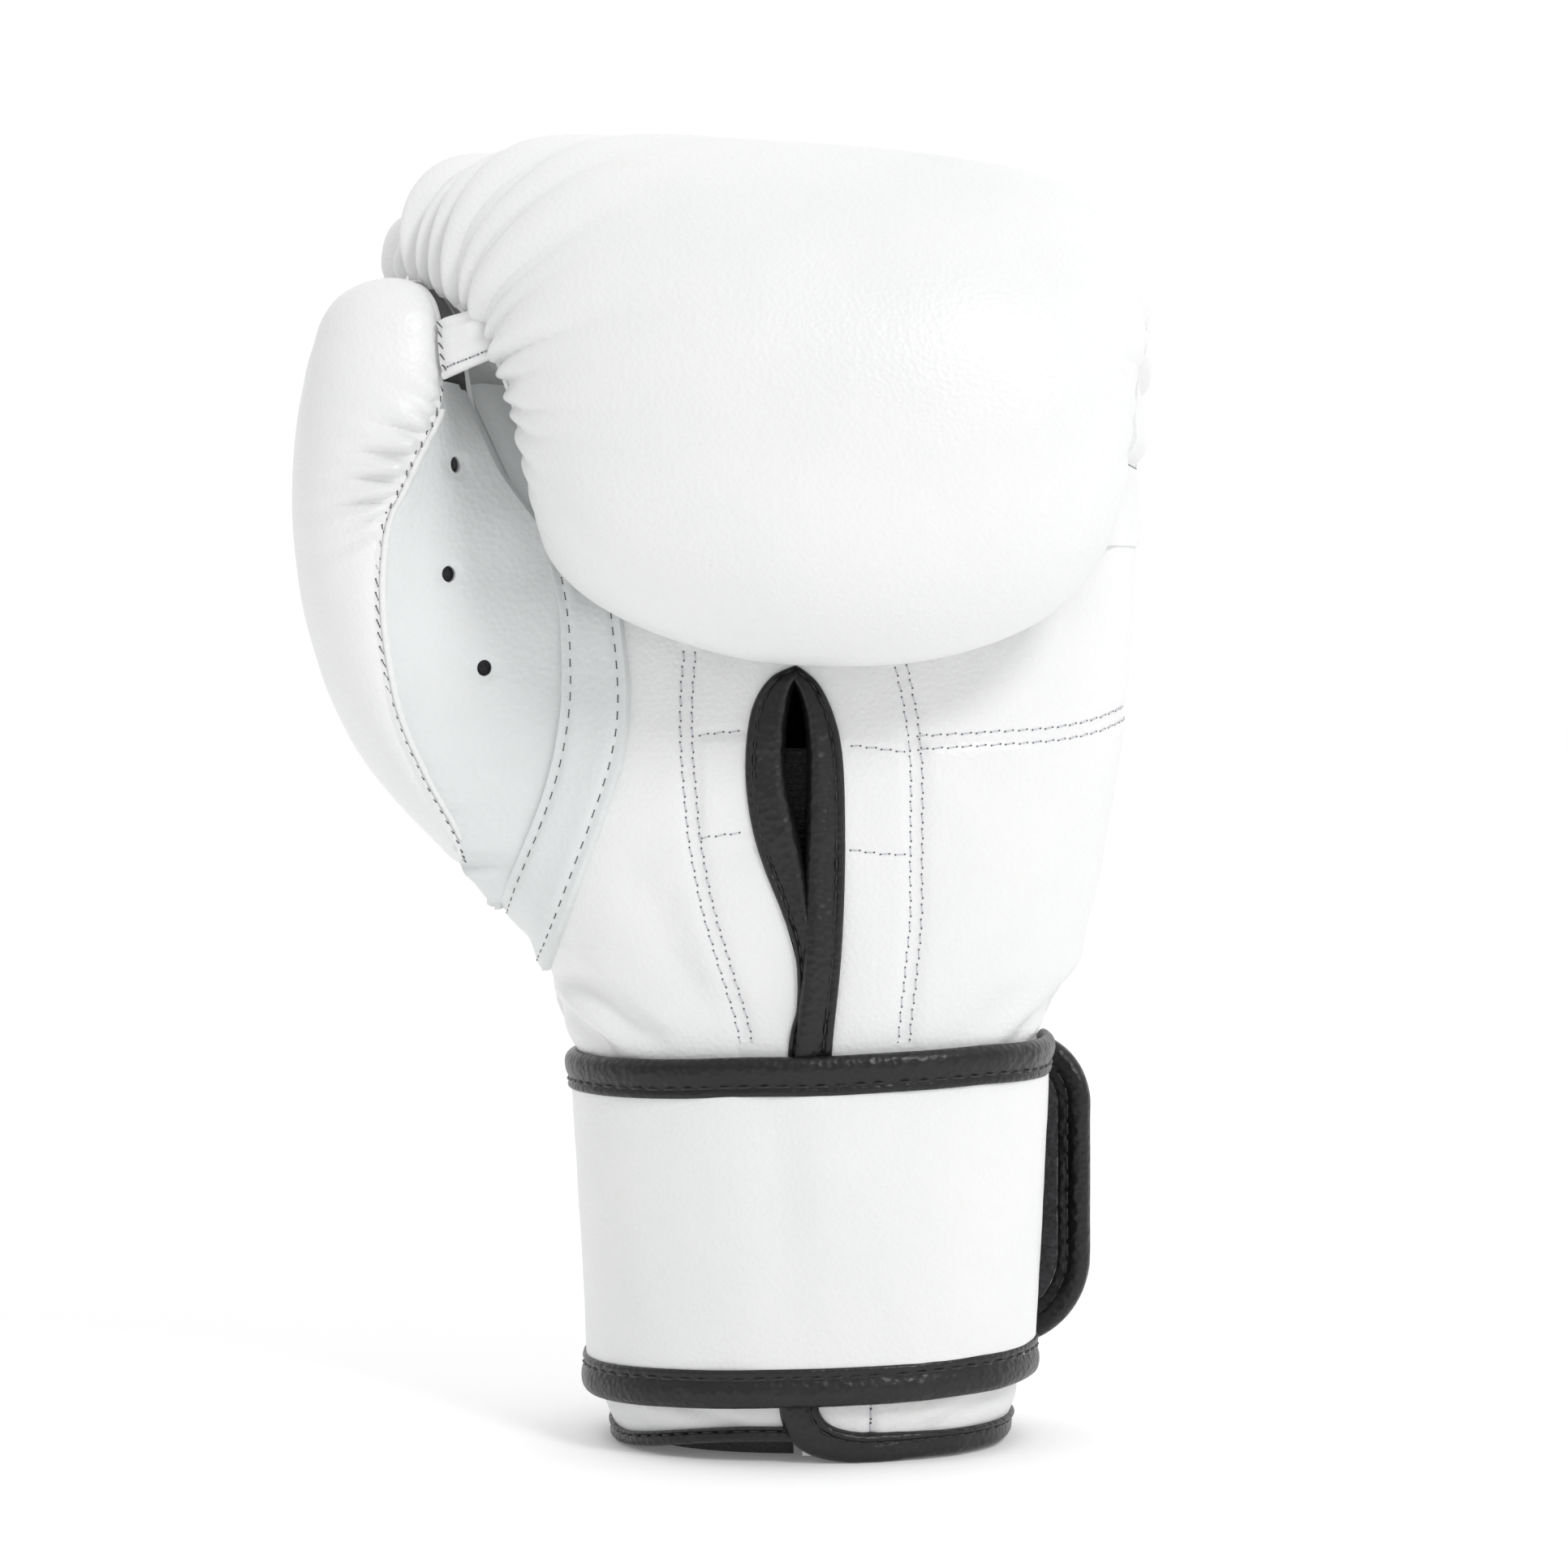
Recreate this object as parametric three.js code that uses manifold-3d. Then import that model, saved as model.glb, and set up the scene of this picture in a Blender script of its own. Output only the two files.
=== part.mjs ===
// Left-hand boxing glove with a locked thumb, a palm slit and a wrap-around hook-and-loop wrist strap.
// Millimetres, +Z up. The glove stands on its cuff rim: +X is the little-finger side, -X the thumb side,
// -Y the palm side and +Y the back of the hand. Inside this file the cuff's centre is x = 0, y = 0;
// the last lines move the origin to the middle of the footprint's bounding box.
import * as THREE from "three";
import { mergeVertices } from "three/addons/utils/BufferGeometryUtils.js";
import Module from "manifold-3d";

const wasm = await Module();
wasm.setup();

// ---------- driving dimensions ----------
const GAP = 0.4; // clearance between touching pieces
const LEATHER = 1.6; // outer synthetic leather with its backing
const CUFF_TOP = 89.6; // where the cuff ends and the hand begins, hidden under the strap
const CUFF_SQUARE = 2.3; // superellipse exponent of the wrist's oval
const CUFF_WALL = 7.5; // leather, foam and lining together
const RIM_HEIGHT = 4.2; // black binding that the glove stands on
const SLIT_GAP = 5; // width of the palm slit through the cuff
const STRAP_INNER = 1.1; // strap's inner and outer faces, measured out from the cuff
const STRAP_OUTER = 3;
const TAPE_INNER = 0.5; // the same for the tape folded over the strap's edges
const TAPE_OUTER = 3.5;
const STRAP_LOW = 12.1; // lower edge of the strap at x = 0
const STRAP_HIGH = 87.3; // upper edge of the strap at x = 0
const STRAP_SLOPE = 0.038; // the wrapped strap climbs towards the little finger
const BINDING_TALL = 8.6; // height of that tape

const WHITE = { color: 0xf2f2f0, roughness: 0.42, metalness: 0 };
const BLACK = { color: 0x1b1a1b, roughness: 0.48, metalness: 0 };
const FOAM = { color: 0xd9d4c4, roughness: 0.95, metalness: 0 };
const LINING = { color: 0x26262a, roughness: 0.9, metalness: 0 };

// ---------- stations along the glove ----------
// The outer panel runs from the wrist up the back of the hand, over the knuckles and down the front of the
// fist to the lip of the roll. mid is its middle line and seam its side seam, both as [y, z]; left and right
// are the seam's x; square is the superellipse exponent across; pad is how much of the way from mid to seam
// the padding fills; lean drops the little-finger side.
const STATIONS = [
  { mid: [40.5, 90.2], seam: [0, 90.2], left: -50.6, right: 51, square: 2.3, pad: 0.36, lean: 0 },
  { mid: [43, 104], seam: [1, 104], left: -57.5, right: 58.5, square: 2.3, pad: 0.4, lean: 0 },
  { mid: [48, 125], seam: [2, 122], left: -70, right: 63.5, square: 2.4, pad: 0.44, lean: 0 },
  { mid: [53, 155], seam: [3, 150], left: -81, right: 68.5, square: 2.5, pad: 0.48, lean: 0 },
  { mid: [57, 190], seam: [3, 182], left: -88, right: 71.5, square: 2.7, pad: 0.5, lean: 0 },
  { mid: [57, 224], seam: [2, 210], left: -92, right: 73, square: 2.9, pad: 0.6, lean: 0.02 },
  { mid: [52, 251], seam: [-1, 229], left: -94, right: 74, square: 3.1, pad: 0.78, lean: 0.04 },
  { mid: [35, 273], seam: [-8, 242], left: -93, right: 74, square: 3.3, pad: 0.94, lean: 0.06 },
  { mid: [8, 282], seam: [-17, 248], left: -90, right: 73.5, square: 3.3, pad: 1, lean: 0.06 },
  { mid: [-24, 281], seam: [-27, 249], left: -84, right: 72.5, square: 3, pad: 1, lean: 0.06 },
  { mid: [-53, 268], seam: [-36, 244], left: -77, right: 71, square: 2.7, pad: 1, lean: 0.06 },
  { mid: [-72, 245], seam: [-43, 234], left: -70, right: 70, square: 2.4, pad: 1, lean: 0.05 },
  { mid: [-79, 217], seam: [-47, 222], left: -66, right: 68, square: 2.2, pad: 1, lean: 0.05 },
  { mid: [-75, 190], seam: [-47, 211], left: -63, right: 66, square: 2.1, pad: 0.96, lean: 0.05 },
  { mid: [-60, 172], seam: [-44, 203], left: -61, right: 63, square: 2, pad: 0.9, lean: 0.04 },
  { mid: [-45, 171], seam: [-40, 198], left: -57, right: 59, square: 2, pad: 0.8, lean: 0.03 },
  { mid: [-36, 181], seam: [-36, 196], left: -50, right: 52, square: 2, pad: 0.7, lean: 0.02 },
];

// Horizontal slices of the thumb, from its root at the wrist to its tip.
const THUMB_SLICES = [
  { z: 119, left: -69.5, right: -62, front: -22, back: -2 },
  { z: 128, left: -79, right: -60, front: -29, back: 0 },
  { z: 140, left: -89, right: -55, front: -35, back: 1 },
  { z: 152, left: -97.5, right: -52.5, front: -39, back: 1 },
  { z: 165, left: -103.5, right: -53, front: -42, back: 1 },
  { z: 180, left: -108, right: -56, front: -45, back: 0 },
  { z: 195, left: -110, right: -61, front: -47, back: -2 },
  { z: 208, left: -110.3, right: -66, front: -48, back: -4 },
  { z: 220, left: -109.2, right: -70, front: -48, back: -7 },
  { z: 232, left: -107, right: -73, front: -47, back: -11 },
  { z: 240, left: -105.5, right: -74.5, front: -45.5, back: -14 },
];
const THUMB_TIP = 251;

const VENTS = [[-74.7, 212], [-76.4, 189], [-69.3, 169]]; // x, z of the holes in the thumb's inner panel
const VENT_RADIUS = 1.6;

// Seams on the palm side, as [x, z] from the wrist upwards.
const THUMB_SEAM = [
  [-75, 128], [-83, 147.4], [-87.5, 160], [-89.8, 180], [-88.8, 198], [-84.5, 211], [-77, 226],
];
const GUSSET_INNER = [[-67.9, 116.4], [-62.1, 129.8], [-56.7, 143.8], [-53.6, 159], [-53.3, 173], [-54.3, 184]];
const GUSSET_OUTER = [[-59.2, 104], [-53.5, 117.6], [-45.6, 138.5], [-41.6, 152], [-40.8, 165], [-42.8, 184]];
const FACING_LEFT = [[-11.9, 86], [-17, 106.5], [-22.6, 128], [-24.8, 148], [-24.7, 173], [-23, 198]];
const FACING_RIGHT = [[18.4, 86], [20.1, 105], [21.1, 128], [20.8, 149], [18.1, 169], [16, 198]];
const SIDE_SEAM_Z = 155; // double-stitched seam across the little-finger side
// Black tape folded over each edge of the palm slit, from the rim up to the point below the roll. Each entry
// is [outer edge x, inner edge x, z].
const TAPE_LEFT = [
  [-8.6, -3.2, 5], [-8.4, -3, 45], [-8.2, -3, 86], [-8.6, -3.6, 104], [-11, -3.8, 124], [-13.2, -4.6, 141],
  [-13.4, -5.6, 152], [-11.4, -4.9, 161], [-7.6, -3.4, 167],
];
const TAPE_RIGHT = [
  [7, 0.2, 5], [6.6, -0.2, 45], [6.2, -0.6, 86], [6.4, -0.4, 104], [7, 0, 124], [7.2, 0.6, 141],
  [6.6, 0.8, 152], [4.6, -0.2, 161], [0.6, -1.6, 167],
];
const TAPE_PROUD = 1; // how far the tape stands out of the palm
const SLIT_MID = -2.2;
const SLIT_LEFT = [...TAPE_LEFT.map((e) => [e[0], e[2]]), [SLIT_MID, 171]];
const SLIT_RIGHT = [...TAPE_RIGHT.map((e) => [e[0], e[2]]), [SLIT_MID, 171]];

// ---------- helpers ----------
const lerp = (a, b, t) => a + (b - a) * t;
const clamp = (v, lo, hi) => Math.min(hi, Math.max(lo, v));
const sgnPow = (v, p) => Math.sign(v) * Math.abs(v) ** p;

// Catmull-Rom through equally spaced values.
function spline(values, t) {
  const last = values.length - 1;
  const u = clamp(t, 0, 1) * last;
  const i = Math.min(Math.floor(u), last - 1);
  const f = u - i;
  const [a, b, c, d] = [i - 1, i, i + 1, i + 2].map((k) => values[clamp(k, 0, last)]);
  return 0.5 * (2 * b + (c - a) * f + (2 * a - 5 * b + 4 * c - d) * f * f + (3 * b - a - 3 * c + d) * f ** 3);
}

// Value of a curve given as [value, key] pairs with rising keys, smoothed.
function alongKey(points, key) {
  const last = points.length - 1;
  let i = 0;
  while (i < last - 1 && points[i + 1][1] < key) i += 1;
  const f = (key - points[i][1]) / (points[i + 1][1] - points[i][1]);
  return spline(points.map((p) => p[0]), (i + clamp(f, 0, 1)) / last);
}

// A closed slab between two matching grids of points, with walls round its edge.
function slab(outer, inner, wrap = false) {
  const rows = outer.length;
  const cols = outer[0].length;
  const flat = [...outer.flat(), ...inner.flat()];
  const id = (side, r, c) => side * rows * cols + r * cols + (c % cols);
  const index = [];
  const quad = (a, b, c, d) => index.push(a, b, c, a, c, d);
  const lastCol = wrap ? cols : cols - 1;
  for (let r = 0; r < rows - 1; r += 1) {
    for (let c = 0; c < lastCol; c += 1) {
      quad(id(0, r, c), id(0, r, c + 1), id(0, r + 1, c + 1), id(0, r + 1, c));
      quad(id(1, r, c), id(1, r + 1, c), id(1, r + 1, c + 1), id(1, r, c + 1));
    }
  }
  for (let c = 0; c < lastCol; c += 1) {
    quad(id(0, 0, c), id(1, 0, c), id(1, 0, c + 1), id(0, 0, c + 1));
    quad(id(0, rows - 1, c + 1), id(1, rows - 1, c + 1), id(1, rows - 1, c), id(0, rows - 1, c));
  }
  if (!wrap) {
    for (let r = 0; r < rows - 1; r += 1) {
      quad(id(0, r + 1, 0), id(1, r + 1, 0), id(1, r, 0), id(0, r, 0));
      quad(id(0, r, cols - 1), id(1, r, cols - 1), id(1, r + 1, cols - 1), id(0, r + 1, cols - 1));
    }
  }
  return facingOut(flat, index);
}

// Geometry from points and triangles, turned so that its faces point out.
function facingOut(points, index) {
  let volume = 0;
  for (let i = 0; i < index.length; i += 3) {
    const [a, b, c] = [points[index[i]], points[index[i + 1]], points[index[i + 2]]];
    volume += a.dot(new THREE.Vector3().crossVectors(b, c)) / 6;
  }
  if (volume < 0) {
    for (let i = 0; i < index.length; i += 3) [index[i + 1], index[i + 2]] = [index[i + 2], index[i + 1]];
  }
  const geometry = new THREE.BufferGeometry().setFromPoints(points);
  geometry.setIndex(index);
  const merged = mergeVertices(geometry, 1e-3);
  const kept = [];
  for (let i = 0; i < merged.index.count; i += 3) {
    const [a, b, c] = [0, 1, 2].map((k) => merged.index.getX(i + k));
    if (a !== b && b !== c && c !== a) kept.push(a, b, c);
  }
  merged.setIndex(kept);
  return merged;
}

// Grid of points from a function of two parameters that each run from 0 to 1.
function grid(rows, cols, at) {
  return Array.from({ length: rows + 1 }, (_, r) =>
    Array.from({ length: cols + 1 }, (_, c) => at(r / rows, c / cols)),
  );
}

const glove = new THREE.Group();
function piece(name, geometry, look) {
  const mesh = new THREE.Mesh(geometry, new THREE.MeshStandardMaterial(look));
  mesh.name = name;
  glove.add(mesh);
  return mesh;
}

// ---------- outer panel and padding ----------
function station(t) {
  const value = (pick) => spline(STATIONS.map(pick), t);
  return {
    mid: [value((s) => s.mid[0]), value((s) => s.mid[1])],
    seam: [value((s) => s.seam[0]), value((s) => s.seam[1])],
    left: value((s) => s.left),
    right: value((s) => s.right),
    square: value((s) => s.square),
    pad: value((s) => s.pad),
    lean: value((s) => s.lean),
  };
}

// A point of the panel: t along it, u across it from the left seam (0) to the right seam (1).
// deep moves it inwards, towards the seam's depth, and side moves its edges inwards.
function panelPoint(t, u, deep = 0, side = 0, padded = false) {
  const s = station(t);
  const angle = (u - 0.5) * Math.PI;
  const across = sgnPow(Math.sin(angle), 2 / s.square);
  const rise = Math.max(Math.cos(angle), 0) ** (2 / s.square);
  const half = (s.right - s.left) / 2 - side;
  const x = (s.left + s.right) / 2 + half * across;
  const depth = Math.hypot(s.mid[0] - s.seam[0], s.mid[1] - s.seam[1]);
  const sink = padded ? s.pad + deep / depth : deep / depth;
  const y = lerp(s.seam[0], lerp(s.mid[0], s.seam[0], sink), rise);
  const z = lerp(s.seam[1], lerp(s.mid[1], s.seam[1], sink), rise);
  return new THREE.Vector3(x, y, z - s.lean * x);
}

const PANEL_ROWS = 24;
const PANEL_COLS = 12;
const panelGrid = (deep, side, padded) =>
  grid(PANEL_ROWS, PANEL_COLS, (t, u) => panelPoint(t, u, deep, side, padded));

piece("fist_shell", slab(panelGrid(0, 0), panelGrid(LEATHER, LEATHER)), WHITE);
piece("fist_foam", slab(panelGrid(LEATHER + GAP, LEATHER + GAP), panelGrid(0, 7, true)), FOAM);

// The lining covers the padding of the back of the hand as far as the fingertips.
const liningGrid = (extra) =>
  grid(10, 8, (t, u) => panelPoint(lerp(0.01, 0.43, t), lerp(0.04, 0.96, u), extra, 9, true));
piece("hand_lining", slab(liningGrid(0.9), liningGrid(2)), LINING);

// ---------- palm side ----------
// The palm panels lie on one surface: depth y at a place x, z, between the side seams.
const PALM_MID = [[-39.4, 84], [-39, 104], [-38.5, 125], [-37.5, 150], [-35, 175], [-31, 198]];
const SEAM_Y = [[0, 90.2], [1, 104], [2, 122], [3, 150], [3, 182], [2, 210]];
const SEAM_LEFT = [[-50.6, 90.2], [-57.5, 104], [-70, 122], [-81, 150], [-88, 182], [-92, 210]];
const SEAM_RIGHT = [[51, 90.2], [58.5, 104], [63.5, 122], [68.5, 150], [71.5, 182], [73, 210]];
const PALM_SQUARE = 2.4;

// A point of the palm: across is the angle from the middle (0) to the little-finger seam (90) or to the
// thumb-side seam (-90), and deep is how far the point lies inside the leather's face.
function palmPoint(across, z, deep) {
  const [left, right] = [alongKey(SEAM_LEFT, z), alongKey(SEAM_RIGHT, z)];
  const angle = (across * Math.PI) / 180;
  const x = (left + right) / 2 + ((right - left) / 2 - deep) * sgnPow(Math.sin(angle), 2 / PALM_SQUARE);
  const rise = Math.max(Math.cos(angle), 0) ** (2 / PALM_SQUARE);
  const seam = alongKey(SEAM_Y, z) - GAP;
  return new THREE.Vector3(x, lerp(seam, alongKey(PALM_MID, z) + deep, rise), z);
}

// The angle across the palm at which a given x lies.
function acrossAt(x, z) {
  const [left, right] = [alongKey(SEAM_LEFT, z), alongKey(SEAM_RIGHT, z)];
  const part = clamp((x - (left + right) / 2) / ((right - left) / 2), -1, 1);
  return (Math.asin(sgnPow(part, PALM_SQUARE / 2)) * 180) / Math.PI;
}
const palmAt = (x, z, deep) => palmPoint(acrossAt(x, z), z, deep);

// A panel between two seams, each a function of z that gives x.
function palmSlab(low, high, seamA, seamB, front, back, rows, cols) {
  const at = (deep) =>
    grid(rows, cols, (t, u) => {
      const z = lerp(low, high, t);
      return palmPoint(lerp(acrossAt(seamA(z), z), acrossAt(seamB(z), z), u), z, deep);
    });
  return slab(at(front), at(back));
}

const curve = (points, by = 0) => (z) => alongKey(points, z) + by;
const HALF_GAP = GAP / 2;
const PALM_LOW = CUFF_TOP + GAP;
const PALM_HIGH = 196;
const PAD_FRONT = LEATHER + 1.3; // the padding starts a little behind the leather
const PAD_BACK = 7.5;
const rightSeam = curve(SEAM_RIGHT);
const thumbSideEdge = (z) => Math.max(alongKey(SEAM_LEFT, z), alongKey(GUSSET_OUTER, z) + HALF_GAP);
const padThumbEdge = (z) => (z < 121 ? thumbSideEdge(z) + 4 : alongKey(GUSSET_INNER, z) + 4);
const PAD_SLIT = GAP + 1.8; // the padding stands clear of the tape, which wraps it

piece("palm_thumb_side", palmSlab(PALM_LOW, PALM_HIGH,
  thumbSideEdge, curve(FACING_LEFT, -HALF_GAP), 0, LEATHER, 12, 7), WHITE);
piece("slit_facing_left", palmSlab(PALM_LOW, PALM_HIGH,
  curve(FACING_LEFT, HALF_GAP), curve(SLIT_LEFT, -GAP), 0, LEATHER, 20, 2), WHITE);
piece("slit_facing_right", palmSlab(PALM_LOW, PALM_HIGH,
  curve(SLIT_RIGHT, GAP), curve(FACING_RIGHT, -HALF_GAP), 0, LEATHER, 20, 2), WHITE);
piece("palm_lower_outer", palmSlab(PALM_LOW, SIDE_SEAM_Z - HALF_GAP,
  curve(FACING_RIGHT, HALF_GAP), rightSeam, 0, LEATHER, 8, 8), WHITE);
piece("palm_upper_outer", palmSlab(SIDE_SEAM_Z + HALF_GAP, PALM_HIGH,
  curve(FACING_RIGHT, HALF_GAP), rightSeam, 0, LEATHER, 6, 8), WHITE);
piece("palm_padding_thumb_side", palmSlab(PALM_LOW, PALM_HIGH,
  padThumbEdge, curve(SLIT_LEFT, -PAD_SLIT), PAD_FRONT, PAD_BACK, 20, 7), FOAM);
piece("palm_padding_outer_side", palmSlab(PALM_LOW, PALM_HIGH,
  curve(SLIT_RIGHT, PAD_SLIT), rightSeam, PAD_FRONT, PAD_BACK, 20, 10), FOAM);

// The gusset eases the thumb into the palm; its lower end is cut on the slant.
const gussetGrid = (deep) =>
  grid(10, 2, (t, u) => {
    const z = lerp(lerp(116.4, 184, t), lerp(104.5, 184, t), u);
    const inner = alongKey(GUSSET_INNER, z) + HALF_GAP;
    const outer = alongKey(GUSSET_OUTER, z) - 0.7;
    return palmAt(lerp(inner, outer, u), z, deep);
  });
piece("thumb_gusset", slab(gussetGrid(0), gussetGrid(LEATHER)), WHITE);

// ---------- sides of the fist ----------
// Above the palm the fist's panel bends forward and back on itself. A side wall fills the space between its
// rising edge and its returning edge. hollow draws the wall's middle inwards to make room for the thumb.
const APEX = 8; // station at which the panel's side seam turns
const RISING = STATIONS.slice(4, APEX + 1);
const RETURNING = STATIONS.slice(APEX).reverse();
function seamPoint(stations, side, z) {
  const key = (pick) => stations.map((s) => [pick(s), s.seam[1] - s.lean * s[side]]);
  return new THREE.Vector3(alongKey(key((s) => s[side]), z), alongKey(key((s) => s.seam[0]), z), z);
}
function sideWall(side, hollow, deep) {
  const apexZ = STATIONS[APEX].seam[1] - STATIONS[APEX].lean * STATIONS[APEX][side];
  const inwards = -Math.sign(STATIONS[APEX][side]);
  return grid(9, 8, (t, u) => {
    const z = lerp(PALM_HIGH + 1.4, apexZ - 3.5, t);
    const [back, front] = [seamPoint(RISING, side, z), seamPoint(RETURNING, side, z)];
    const p = back.lerp(front, lerp(0.03, 0.97, u));
    const bend = Math.sin(Math.PI * u);
    return p.add(new THREE.Vector3(inwards * (LEATHER + 0.8 + deep + hollow * bend), 0, 0));
  });
}
piece("fist_side_outer", slab(sideWall("right", -4, 0), sideWall("right", -4, 2.5)), WHITE);
piece("fist_side_thumb", slab(sideWall("left", 24.5, 0), sideWall("left", 24.5, 2.5)), WHITE);

// ---------- wrist ----------
// Half-widths of the cuff's oval, as [along x, along y, z].
const CUFF_OVAL = [
  [41.5, 34, 0], [43.5, 35.5, 4.2], [45.8, 37.2, 10], [46.6, 37.8, 22], [48.2, 38.7, 55], [49.8, 39.6, 90],
];

function cuffPoint(degrees, z, out) {
  const a = alongKey(CUFF_OVAL.map((s) => [s[0], s[2]]), z) + out;
  const b = alongKey(CUFF_OVAL.map((s) => [s[1], s[2]]), z) + out;
  const angle = (degrees * Math.PI) / 180;
  const power = 2 / CUFF_SQUARE;
  return new THREE.Vector3(a * sgnPow(Math.cos(angle), power), b * sgnPow(Math.sin(angle), power), z);
}

// Part of an oval band round the wrist, between two angles, two heights and two distances from the cuff.
function band(from, to, low, high, outer, inner, rows = 1) {
  const cols = Math.max(2, Math.round(Math.abs(to - from) / 6));
  const lowAt = typeof low === "function" ? low : () => low;
  const highAt = typeof high === "function" ? high : () => high;
  const at = (out) =>
    grid(rows, cols, (t, u) => {
      const degrees = lerp(from, to, u);
      const x = cuffPoint(degrees, 50, 0).x;
      return cuffPoint(degrees, lerp(lowAt(x), highAt(x), t), out);
    });
  return slab(at(outer), at(inner));
}

const SLIT_FROM = -80.6; // the cuff is open at the front, from the right-hand tape to the left-hand tape
const SLIT_TO = 258.4;
const RIM_TOP = RIM_HEIGHT + GAP;
piece("cuff_rim_binding", band(-89.2, 266, 0, RIM_HEIGHT, 0.8, -CUFF_WALL - 0.6), BLACK);
piece("cuff_shell", band(SLIT_FROM, SLIT_TO, RIM_TOP, CUFF_TOP, 0, -LEATHER, 3), WHITE);
piece("cuff_foam", band(SLIT_FROM, SLIT_TO, RIM_TOP, CUFF_TOP, -LEATHER - GAP, -CUFF_WALL + 1.4, 3), FOAM);
piece("cuff_lining", band(SLIT_FROM, SLIT_TO, RIM_TOP, CUFF_TOP, -CUFF_WALL + 1, -CUFF_WALL, 3), LINING);

// ---------- palm slit ----------
function tape(edges) {
  const outerEdge = curve(edges.map((e) => [e[0], e[2]]), -Math.sign(edges[0][0]) * GAP);
  const innerEdge = curve(edges.map((e) => [e[1], e[2]]));
  const at = (front) =>
    grid(20, 2, (t, u) => {
      const z = lerp(RIM_TOP, 166.5, t);
      const x = lerp(outerEdge(z), innerEdge(z), u);
      const proud = TAPE_PROUD * clamp((z - 88) / 8, 0, 1);
      const wall = z < PALM_LOW ? CUFF_WALL : PAD_BACK;
      const cuffY = (out) => {
        const spot = cuffPoint(270, z, out);
        const half = alongKey(CUFF_OVAL.map((s) => [s[0], s[2]]), z) + out;
        return spot.y * (1 - Math.abs(x / half) ** CUFF_SQUARE) ** (1 / CUFF_SQUARE);
      };
      const y = z < PALM_LOW ? cuffY(front ? 0 : -wall) : palmAt(x, z, front ? -proud : wall).y;
      return new THREE.Vector3(x, y, z);
    });
  return slab(at(true), at(false));
}
piece("slit_binding_left", tape(TAPE_LEFT), BLACK);
piece("slit_binding_right", tape(TAPE_RIGHT), BLACK);
piece("slit_elastic", palmSlab(112, 150, () => -22, () => 17, PAD_BACK + 0.5, PAD_BACK + 1.6, 3, 4), BLACK);

// ---------- thumb ----------
const sliceValue = (key, z) => alongKey(THUMB_SLICES.map((s) => [s[key], s.z]), z);

// Angle round the slice at which the outer leather meets the inner panel, measured at the thumb seam.
function thumbSeamAngle(z) {
  const [left, right] = [sliceValue("left", z), sliceValue("right", z)];
  const seam = z < 226 ? alongKey(THUMB_SEAM, z) : lerp(-77, -76, (z - 226) / 22);
  const across = clamp((seam - (left + right) / 2) / ((right - left) / 2), -0.95, 0.8);
  return 360 - (Math.acos(across) * 180) / Math.PI;
}

const THUMB_START = 14; // degrees, on the side towards the fist
const THUMB_SHOULDER = 232; // above this height the thumb closes in a dome
function thumbPoint(z, u, deep) {
  const top = THUMB_TIP - deep;
  const rise = Math.max(0, (z - THUMB_SHOULDER) / (top - THUMB_SHOULDER));
  const dome = Math.sqrt(Math.max(0, 1 - rise ** 2));
  const zed = Math.min(z, THUMB_SHOULDER + 6);
  const [left, right] = [sliceValue("left", zed), sliceValue("right", zed)];
  const [front, back] = [sliceValue("front", zed), sliceValue("back", zed)];
  const angle = (lerp(THUMB_START, thumbSeamAngle(z), u) * Math.PI) / 180;
  const halfX = Math.max((right - left) / 2 - deep, 0.8) * dome;
  const halfY = Math.max((back - front) / 2 - deep, 0.8) * dome;
  return new THREE.Vector3(
    (left + right) / 2 + halfX * sgnPow(Math.cos(angle), 2 / 2.3),
    (front + back) / 2 + halfY * sgnPow(Math.sin(angle), 2 / 2.3),
    z,
  );
}

// Rows crowd towards the tip, where the dome closes.
function thumbGrid(low, deep) {
  const top = THUMB_TIP - deep;
  return grid(16, 16, (t, u) => {
    const z = t < 0.62 ? lerp(low, THUMB_SHOULDER, t / 0.62)
      : lerp(THUMB_SHOULDER, top, Math.sin((((t - 0.62) / 0.38) * Math.PI) / 2));
    return thumbPoint(z, u, deep);
  });
}
piece("thumb_shell", slab(thumbGrid(121, 0), thumbGrid(121, LEATHER)), WHITE);
piece("thumb_foam", slab(thumbGrid(134, LEATHER + 0.8), thumbGrid(134, 10)), FOAM);

// Short tab that ties the thumb's tip to the fist.
const TAB = [[-75.6, -44.5, 230.6], [-75.6, -44, 241.5], [-71.9, -46.5, 243], [-71.5, -47, 232.2]];
const tabAt = (deep) => {
  const [a, b, c, d] = TAB.map((p) => new THREE.Vector3(p[0], p[1] + deep, p[2]));
  return grid(1, 1, (t, u) => a.clone().lerp(d, u).lerp(b.clone().lerp(c, u), t));
};
piece("thumb_lock_tab", slab(tabAt(0), tabAt(2)), WHITE);

// The bar that the fingers close round, inside the hand.
const GRIP = { radius: 7, left: -36, right: 38, y: -15, z: 184 };
const gripBar = new THREE.CapsuleGeometry(GRIP.radius, GRIP.right - GRIP.left - 2 * GRIP.radius, 4, 14);
gripBar.rotateZ(Math.PI / 2);
gripBar.deleteAttribute("normal");
gripBar.deleteAttribute("uv");
gripBar.translate((GRIP.left + GRIP.right) / 2, GRIP.y, GRIP.z);
piece("grip_bar", mergeVertices(gripBar, 1e-3), LINING);

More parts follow.
